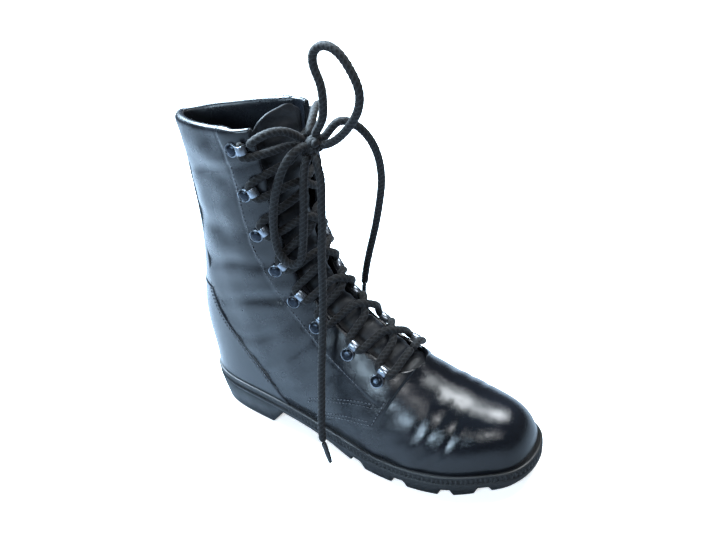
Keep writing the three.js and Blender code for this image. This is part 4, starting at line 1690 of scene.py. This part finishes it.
@dataclass
class Eyelets:
    """Riveted eyelets: a round cap, a plate and a bow that holds the lace."""

    cap: float = 4.9
    width: float = 6.3
    reach: float = 9.0
    bow: float = 3.6
    wall: float = 0.9
    cap_steps: tuple = ((0.75, 0.5), (0.45, -0.28), (0.5, 0.45), (1.4, 0.25))

    def shape_cap(self) -> bpy.types.Object:
        """The rivet's cap: a domed disc with a sunk ring near its rim.

        Returns:
            The cap.
        """
        deselect()
        bpy.ops.mesh.primitive_cylinder_add(
            vertices=36, radius=self.cap * MM, depth=1.0 * MM, location=(0, 0, 3.0 * MM)
        )
        made = bpy.context.object
        bpy.ops.object.transform_apply(location=True, rotation=True, scale=True)
        work = bmesh.new()
        work.from_mesh(made.data)
        for face in work.faces:
            face.select_set(face.normal.z > 0.9)
        work.to_mesh(made.data)
        work.free()
        bpy.ops.object.mode_set(mode="EDIT")
        bpy.ops.mesh.select_mode(type="FACE")
        for inset, rise in self.cap_steps:
            bpy.ops.mesh.inset(thickness=inset * MM)
            bpy.ops.transform.translate(value=(0, 0, rise * MM))
        bpy.ops.object.mode_set(mode="OBJECT")
        return made

    def shape_shank(self) -> bpy.types.Object:
        """The short pin between the plate and the cap.

        Returns:
            The pin.
        """
        deselect()
        bpy.ops.mesh.primitive_cylinder_add(
            vertices=20, radius=2.4 * MM, depth=2.6 * MM, location=(0, 0, 1.4 * MM)
        )
        bpy.ops.object.transform_apply(location=True, rotation=True, scale=True)
        return bpy.context.object

    def shape_plate(self) -> bpy.types.Object:
        """The flat plate under the cap, narrowed towards the bow.

        Returns:
            The plate.
        """
        deselect()
        bpy.ops.mesh.primitive_cube_add(size=1, location=(2.2 * MM, 0, 0.75 * MM))
        made = bpy.context.object
        made.scale = (13.4 * MM, self.width * MM, 0.85 * MM)
        bpy.ops.object.transform_apply(location=True, rotation=True, scale=True)
        bpy.ops.object.mode_set(mode="EDIT")
        bpy.ops.mesh.select_all(action="SELECT")
        bpy.ops.mesh.subdivide(number_cuts=7)
        bpy.ops.object.mode_set(mode="OBJECT")
        for vertex in made.data.vertices:
            along = vertex.co.x / MM
            waist = 1 - 0.28 * math.exp(-(((along - 6.2) / 1.8) ** 2))
            round_end = math.sqrt(max(0.15, 1 - max(0.0, (-along - 1.5) / 3.4) ** 2))
            vertex.co.y *= waist * round_end
        return made

    def shape_bow(self) -> bpy.types.Object:
        """The round bow, open along its length for the lace.

        Returns:
            The bow.
        """
        deselect()
        centre = (self.reach * MM, 0, (GAP + self.bow) * MM)
        bpy.ops.mesh.primitive_cylinder_add(
            vertices=32, radius=self.bow * MM, depth=self.width * MM, end_fill_type="NOTHING",
            location=centre, rotation=(math.pi / 2, 0, 0)
        )
        made = bpy.context.object
        bpy.ops.object.transform_apply(location=True, rotation=True, scale=True)
        solid = made.modifiers.new("wall", "SOLIDIFY")
        solid.thickness = self.wall * MM
        solid.offset = -1
        rounded = made.modifiers.new("round", "BEVEL")
        rounded.width = 0.3 * MM
        rounded.segments = 2
        rounded.limit_method = "ANGLE"
        bpy.ops.object.modifier_apply(modifier="wall")
        bpy.ops.object.modifier_apply(modifier="round")
        return made

    def model(self) -> bpy.types.Object:
        """One eyelet at the origin, with its wear marked.

        Returns:
            The eyelet.
        """
        parts = [self.shape_cap(), self.shape_shank(), self.shape_plate(), self.shape_bow()]
        deselect()
        for part in parts:
            part.select_set(True)
        bpy.context.view_layer.objects.active = parts[0]
        bpy.ops.object.join()
        made = bpy.context.object
        bpy.ops.object.shade_smooth_by_angle(angle=math.radians(35))
        wear = made.data.attributes.new("wear", "FLOAT", "POINT")
        for i, vertex in enumerate(made.data.vertices):
            x, y, z = (value / MM for value in vertex.co)
            from_middle = math.hypot(x, y)
            rim = math.exp(-(((from_middle - self.cap) / 0.6) ** 2)) if z > 2.3 and x < 5 else 0.0
            bow = 0.75 if x > 6 else 0.0
            wear.data[i].value = max(rim, bow, 0.12)
        return made

    def build(self, places: dict[Side, list[EyeletPlace]]) -> None:
        """Puts a copy at each place.

        Args:
            places: where the eyelets are.
        """
        first = self.model()
        finish = Metal()
        for each in [place for side in places.values() for place in side]:
            copy = bpy.data.objects.new(f"boot_{each.name}", first.data.copy())
            bpy.context.scene.collection.objects.link(copy)
            frame = Matrix.Identity(4)
            for column, axis in enumerate((each.inward, each.edge, each.normal)):
                for row in range(3):
                    frame[row][column] = float(axis[row])
            for row in range(3):
                frame[row][3] = float((each.origin[row] + FORM.shift[row]) * MM)
            copy.data.transform(frame)
            dress(copy, finish, "eyelet_metal", each.name)
        bpy.data.objects.remove(first)


# ---------------------------------------------------------------- lace


@dataclass
class Lace:
    """The one long lace: crossings through the bows, runs, knot, loops, ends and tips."""

    radius: float = LACE / 2
    step: float = 0.66
    tip_radius: float = 1.9
    tip_sides: int = 16
    wraps: tuple = (
        (0.3, (5.4, 6.2, 3.6)), (-0.75, (5.0, 6.4, 4.2)), (1.25, (4.2, 6.2, 4.6)), (2.2, (2.0, 3.0, 3.4))
    )
    near_knot: float = 16.0
    tuck: float = 0.36
    finish: Braid = field(default_factory=Braid)

    def cords(self) -> None:
        tips = {name: self.tip(name, *ends) for name, ends in AGLETS.items()}
        for name, route in ROUTES.items():
            points = resample(self.tucked(route), self.step)
            piece = self.woven(name, [braided_tube(points, self.radius)])

    def tucked(self, route: Sequence[tuple]) -> Array:
        """A route with its ends near the knot drawn in under the knot's turns.

        Args:
            route: points of the route.

        Returns:
            The longer route.
        """
        points = np.array(route, float)
        first, last = points[0], points[-1]
        centre = np.array(KNOT)
        if np.linalg.norm(centre - first) < self.near_knot:
            points = np.concatenate([[first + (centre - first) * self.tuck], points])
        if np.linalg.norm(centre - last) < self.near_knot:
            points = np.concatenate([points, [last + (centre - last) * self.tuck]])
        return points

    def woven(self, name: str, tubes: Sequence[tuple[Array, list, Array]]) -> bpy.types.Object:
        """A piece of lace for a node, from tubes, with its strands marked.

        Args:
            name: the node it stands for.
            tubes: points, faces and strand heights of each.

        Returns:
            The piece.
        """
        verts, faces = join_parts([tube[:2] for tube in tubes])
        piece = new_mesh(f"boot_{name}", verts, faces)
        weave = piece.data.attributes.new("weave", "FLOAT", "POINT")
        weave.data.foreach_set("value", np.concatenate([tube[2] for tube in tubes]).astype(np.float32))
        return dress(piece, self.finish, "lace_cord", name)

    def tip(self, name: str, start: tuple, end: tuple) -> bpy.types.Object:
        """A smooth plastic tip, slimmer at its end.

        Args:
            name: the node it stands for.
            start: where it leaves the lace.
            end: its free end.

        Returns:
            The tip.
        """
        line = resample(np.array([start, (np.array(start) + np.array(end)) / 2, end], float), 0.8)
        _, side, up = tube_frames(line)
        share = np.linspace(0, 1, len(line))
        rounded = np.sqrt(np.clip(np.minimum(share, 1 - share) * 26 + 0.3, 0, 1))
        r = self.tip_radius * (1 - 0.22 * smooth(0.6, 1, share)) * rounded
        turn = 2 * math.pi * np.arange(self.tip_sides) / self.tip_sides
        rings = line[:, None] + r[:, None, None] * (side[:, None] * np.cos(turn)[None, :, None]
                                                    + up[:, None] * np.sin(turn)[None, :, None])
        verts, faces = capped_tube(rings, line[:1], line[-1:])
        return dress(new_mesh(f"boot_{name}", verts, faces), Plastic(), "aglet_plastic", name)

    def knot(self) -> None:
        """The knot: four close turns of lace crossing over each other."""
        centre = np.array(KNOT)
        t = np.linspace(0, 2 * math.pi, 120, endpoint=False)
        parts = []
        for tilt, (wide, tall, deep) in self.wraps:
            loop = np.stack([deep * np.cos(t) + 1.2 * np.sin(2 * t), wide * np.sin(t), tall * np.cos(t)], 1)
            cos, sin = math.cos(tilt), math.sin(tilt)
            turn = np.array([[1, 0, 0], [0, cos, -sin], [0, sin, cos]])
            line = resample(centre + loop @ turn.T, self.step)
            parts.append(braided_tube(line, self.radius * 1.02))
        self.woven("bow_knot", parts)

    def crossings(self, places: dict[Side, list[EyeletPlace]]) -> None:
        """The lace through all the bows, in two runs that start at the bar on the lowest pair.

        Args:
            places: where the eyelets are.
        """
        rows = len(EYELETS)
        parts = []
        height = GAP + Eyelets.bow
        for first in (Side.OUTER, Side.INNER):
            side = first
            points = []
            for row in range(rows - 1, -1, -1):
                place = places[side][row]
                up = -1.0 if side is Side.OUTER else 1.0
                up = up if np.dot(place.edge * up, [0, 0, 1]) > 0 else -up
                if row == rows - 1:
                    s = place.s - 0.22
                    points.append(self.over(s, 0.0, 1.2))
                    points.append(self.over(s, side.value * 0.55, 2.4))
                points.append(place.point(Eyelets.reach, -up * 5.0, height + 0.5))
                points.append(place.point(Eyelets.reach, 0.0, height))
                points.append(place.point(Eyelets.reach + 0.4, up * 5.0, height + 0.5))
                if row == 0:
                    break
                other = Side.INNER if side is Side.OUTER else Side.OUTER
                target = places[other][row - 1]
                hump = 3.4 if (row + (first is Side.OUTER)) % 2 else 0.2
                for share in (0.3, 0.5, 0.7):
                    s = place.s + (target.s - place.s) * share
                    spread_out = 1 - 2 * share
                    rise = 1.0 + hump * (1 - abs(spread_out))
                    points.append(self.over(s, side.value * spread_out * 0.9, rise))
                side = other
            parts.append(braided_tube(resample(np.array(points), self.step), self.radius))
        self.woven("lace_crossings", parts)

    def over(self, s: float, share: float, rise: float) -> Array:
        """A point over the tongue.

        Args:
            s: its section number.
            share: -1 to 1 across the opening.
            rise: how far it is over the leather.

        Returns:
            The point.
        """
        half = float(FORM.throat_half(s)) * abs(share)
        angle = FORM.angle_at(np.array(s), np.array(half), 1.0 if share >= 0 else -1.0)
        sink = float(FORM.column["sink"](s)) * (1 - share * share) * 0.6
        return FORM.lift(np.array(s), angle, np.array(rise + 1.6 - sink))


# ---------------------------------------------------------------- studio


class Lamp(NamedTuple):
    """A rectangular soft light: its place, its aim, its size in metres, its watts and its colour."""

    name: str
    at: tuple
    aim: tuple
    size: tuple
    power: float
    colour: tuple


LAMPS = [
    Lamp("window", (-1.0, 0.30, 0.95), (-0.06, 0, 0.16), (0.55, 0.6), 26, (0.62, 0.82, 1.0)),
    Lamp("side", (-0.10, -1.20, 0.62), (0.0, 0, 0.10), (0.45, 0.30), 12, (0.62, 0.82, 1.0)),
    Lamp("glow", (-0.50, 0.05, 0.75), (-0.42, -0.05, 0.0), (0.4, 0.4), 42, (0.66, 0.84, 1.0)),
    Lamp("top", (0.35, 0.75, 1.70), (0.0, 0, 0.0), (0.8, 0.6), 42, (0.90, 0.96, 1.0)),
    Lamp("front", (0.9, -0.9, 1.3), (0.08, 0, 0.05), (0.35, 0.35), 7, (0.94, 0.97, 1.0)),
]


@dataclass
class Studio:
    """Camera, floor and lights."""

    station: tuple = (423.4, -344.1, 412.5)
    forward: tuple = (-0.52919, 0.676114, -0.512667)
    right: tuple = (0.823254, 0.555426, -0.117281)
    focal: float = 711.1
    image_width: float = 714.0
    sensor: float = 36.0
    surround: float = 0.07
    backdrop: float = 1.2
    # darker colour the floor has for all but camera rays: painted shade in reflections and bounce light
    floor_painted_shade: tuple = (0.28, 0.31, 0.35)
    floor_seen: tuple = (0.93, 0.94, 0.95)
    # colour of the floor's painted glow, seen by the camera only
    floor_glow: tuple = (0.95, 0.98, 1.0, 1)

    def camera(self) -> None:
        """Sets the camera where the boot is seen from, rolled with its lean."""
        data = bpy.data.cameras.new("camera")
        data.sensor_fit = "HORIZONTAL"
        data.sensor_width = self.sensor
        data.lens = self.focal * self.sensor / self.image_width
        data.clip_start = 0.01
        data.clip_end = 50
        made = bpy.data.objects.new("camera", data)
        bpy.context.scene.collection.objects.link(made)
        forward = Vector(self.forward).normalized()
        right = Vector(self.right).normalized()
        up = right.cross(forward)
        turn = Matrix((right, up, -forward)).transposed()
        made.matrix_world = turn.to_4x4()
        made.location = Vector(((np.array(self.station) + FORM.shift) * MM).tolist())
        bpy.context.scene.camera = made

    def floor(self) -> None:
        """A plain pale floor that glows for the camera, more the further it is from the boot, as painted
        light; for every other ray it is darker, a painted shade in reflections and bounce light.
        """
        deselect()
        bpy.ops.mesh.primitive_plane_add(size=60, location=(0, 0, 0))
        made = bpy.context.object
        made.name = "floor"
        paint = bpy.data.materials.new("floor")
        paint.use_nodes = True
        shader = paint.node_tree.nodes["Principled BSDF"]
        shader.inputs["Roughness"].default_value = 0.85
        shader.inputs["Specular IOR Level"].default_value = 0.15
        tree = paint.node_tree
        link = tree.links.new
        # painted shade: rays other than the camera's see the floor darker
        sight = node(tree, "ShaderNodeLightPath")
        camera = sight.outputs["Is Camera Ray"]
        link(blend_colours(tree, camera, self.floor_painted_shade, self.floor_seen), shader.inputs["Base Color"])
        # painted light: for the camera the floor glows, more the further it is from the boot
        where = node(tree, "ShaderNodeTexCoord")
        away = node(tree, "ShaderNodeVectorMath", operation="LENGTH")
        link(where.outputs["Object"], away.inputs[0])
        glow = node(tree, "ShaderNodeMath", operation="MULTIPLY")
        link(camera, glow.inputs[0])
        link(spread(tree, away.outputs["Value"], (0.4, 1.6), (0.62, 1.05)), glow.inputs[1])
        shader.inputs["Emission Color"].default_value = self.floor_glow
        link(glow.outputs[0], shader.inputs["Emission Strength"])
        made.data.materials.append(paint)

    def light(self, lamp: Lamp) -> None:
        """Adds one light.

        Args:
            lamp: what it is like.
        """
        data = bpy.data.lights.new(lamp.name, "AREA")
        data.shape = "RECTANGLE"
        data.size, data.size_y = lamp.size
        data.energy = lamp.power
        data.color = lamp.colour
        made = bpy.data.objects.new(lamp.name, data)
        bpy.context.scene.collection.objects.link(made)
        made.location = lamp.at
        made.rotation_mode = "QUATERNION"
        made.rotation_quaternion = (Vector(lamp.aim) - Vector(lamp.at)).to_track_quat("-Z", "Y")

    def lights(self) -> None:
        """Soft light from the side of the heel, from above and from the front."""
        world = bpy.data.worlds.new("studio")
        world.use_nodes = True
        tree = world.node_tree
        back = tree.nodes["Background"]
        sight = node(tree, "ShaderNodeLightPath")
        shares = spread(tree, sight.outputs["Is Camera Ray"], (0, 1), (self.surround, self.backdrop))
        back.inputs[0].default_value = (0.96, 0.98, 1.0, 1)
        tree.links.new(shares, back.inputs[1])
        bpy.context.scene.world = world
        bpy.context.scene.view_settings.view_transform = "Standard"
        for lamp in LAMPS:
            self.light(lamp)


def main() -> None:
    """Builds the boot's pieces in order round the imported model."""
    logging.basicConfig(level=logging.INFO, format="%(name)s %(message)s")
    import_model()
    FORM.settle()
    studio = Studio()
    studio.camera()
    lace = Lace()
    lace.cords()
    places = eyelet_places()
    for piece in (Upper(), HeelPieces(), Stitching(), Tongue(), Sole(), Insole()):
        piece.build()
    Eyelets().build(places)
    lace.crossings(places)
    lace.knot()
    studio.floor()
    studio.lights()


if __name__ == "__main__":
    main()
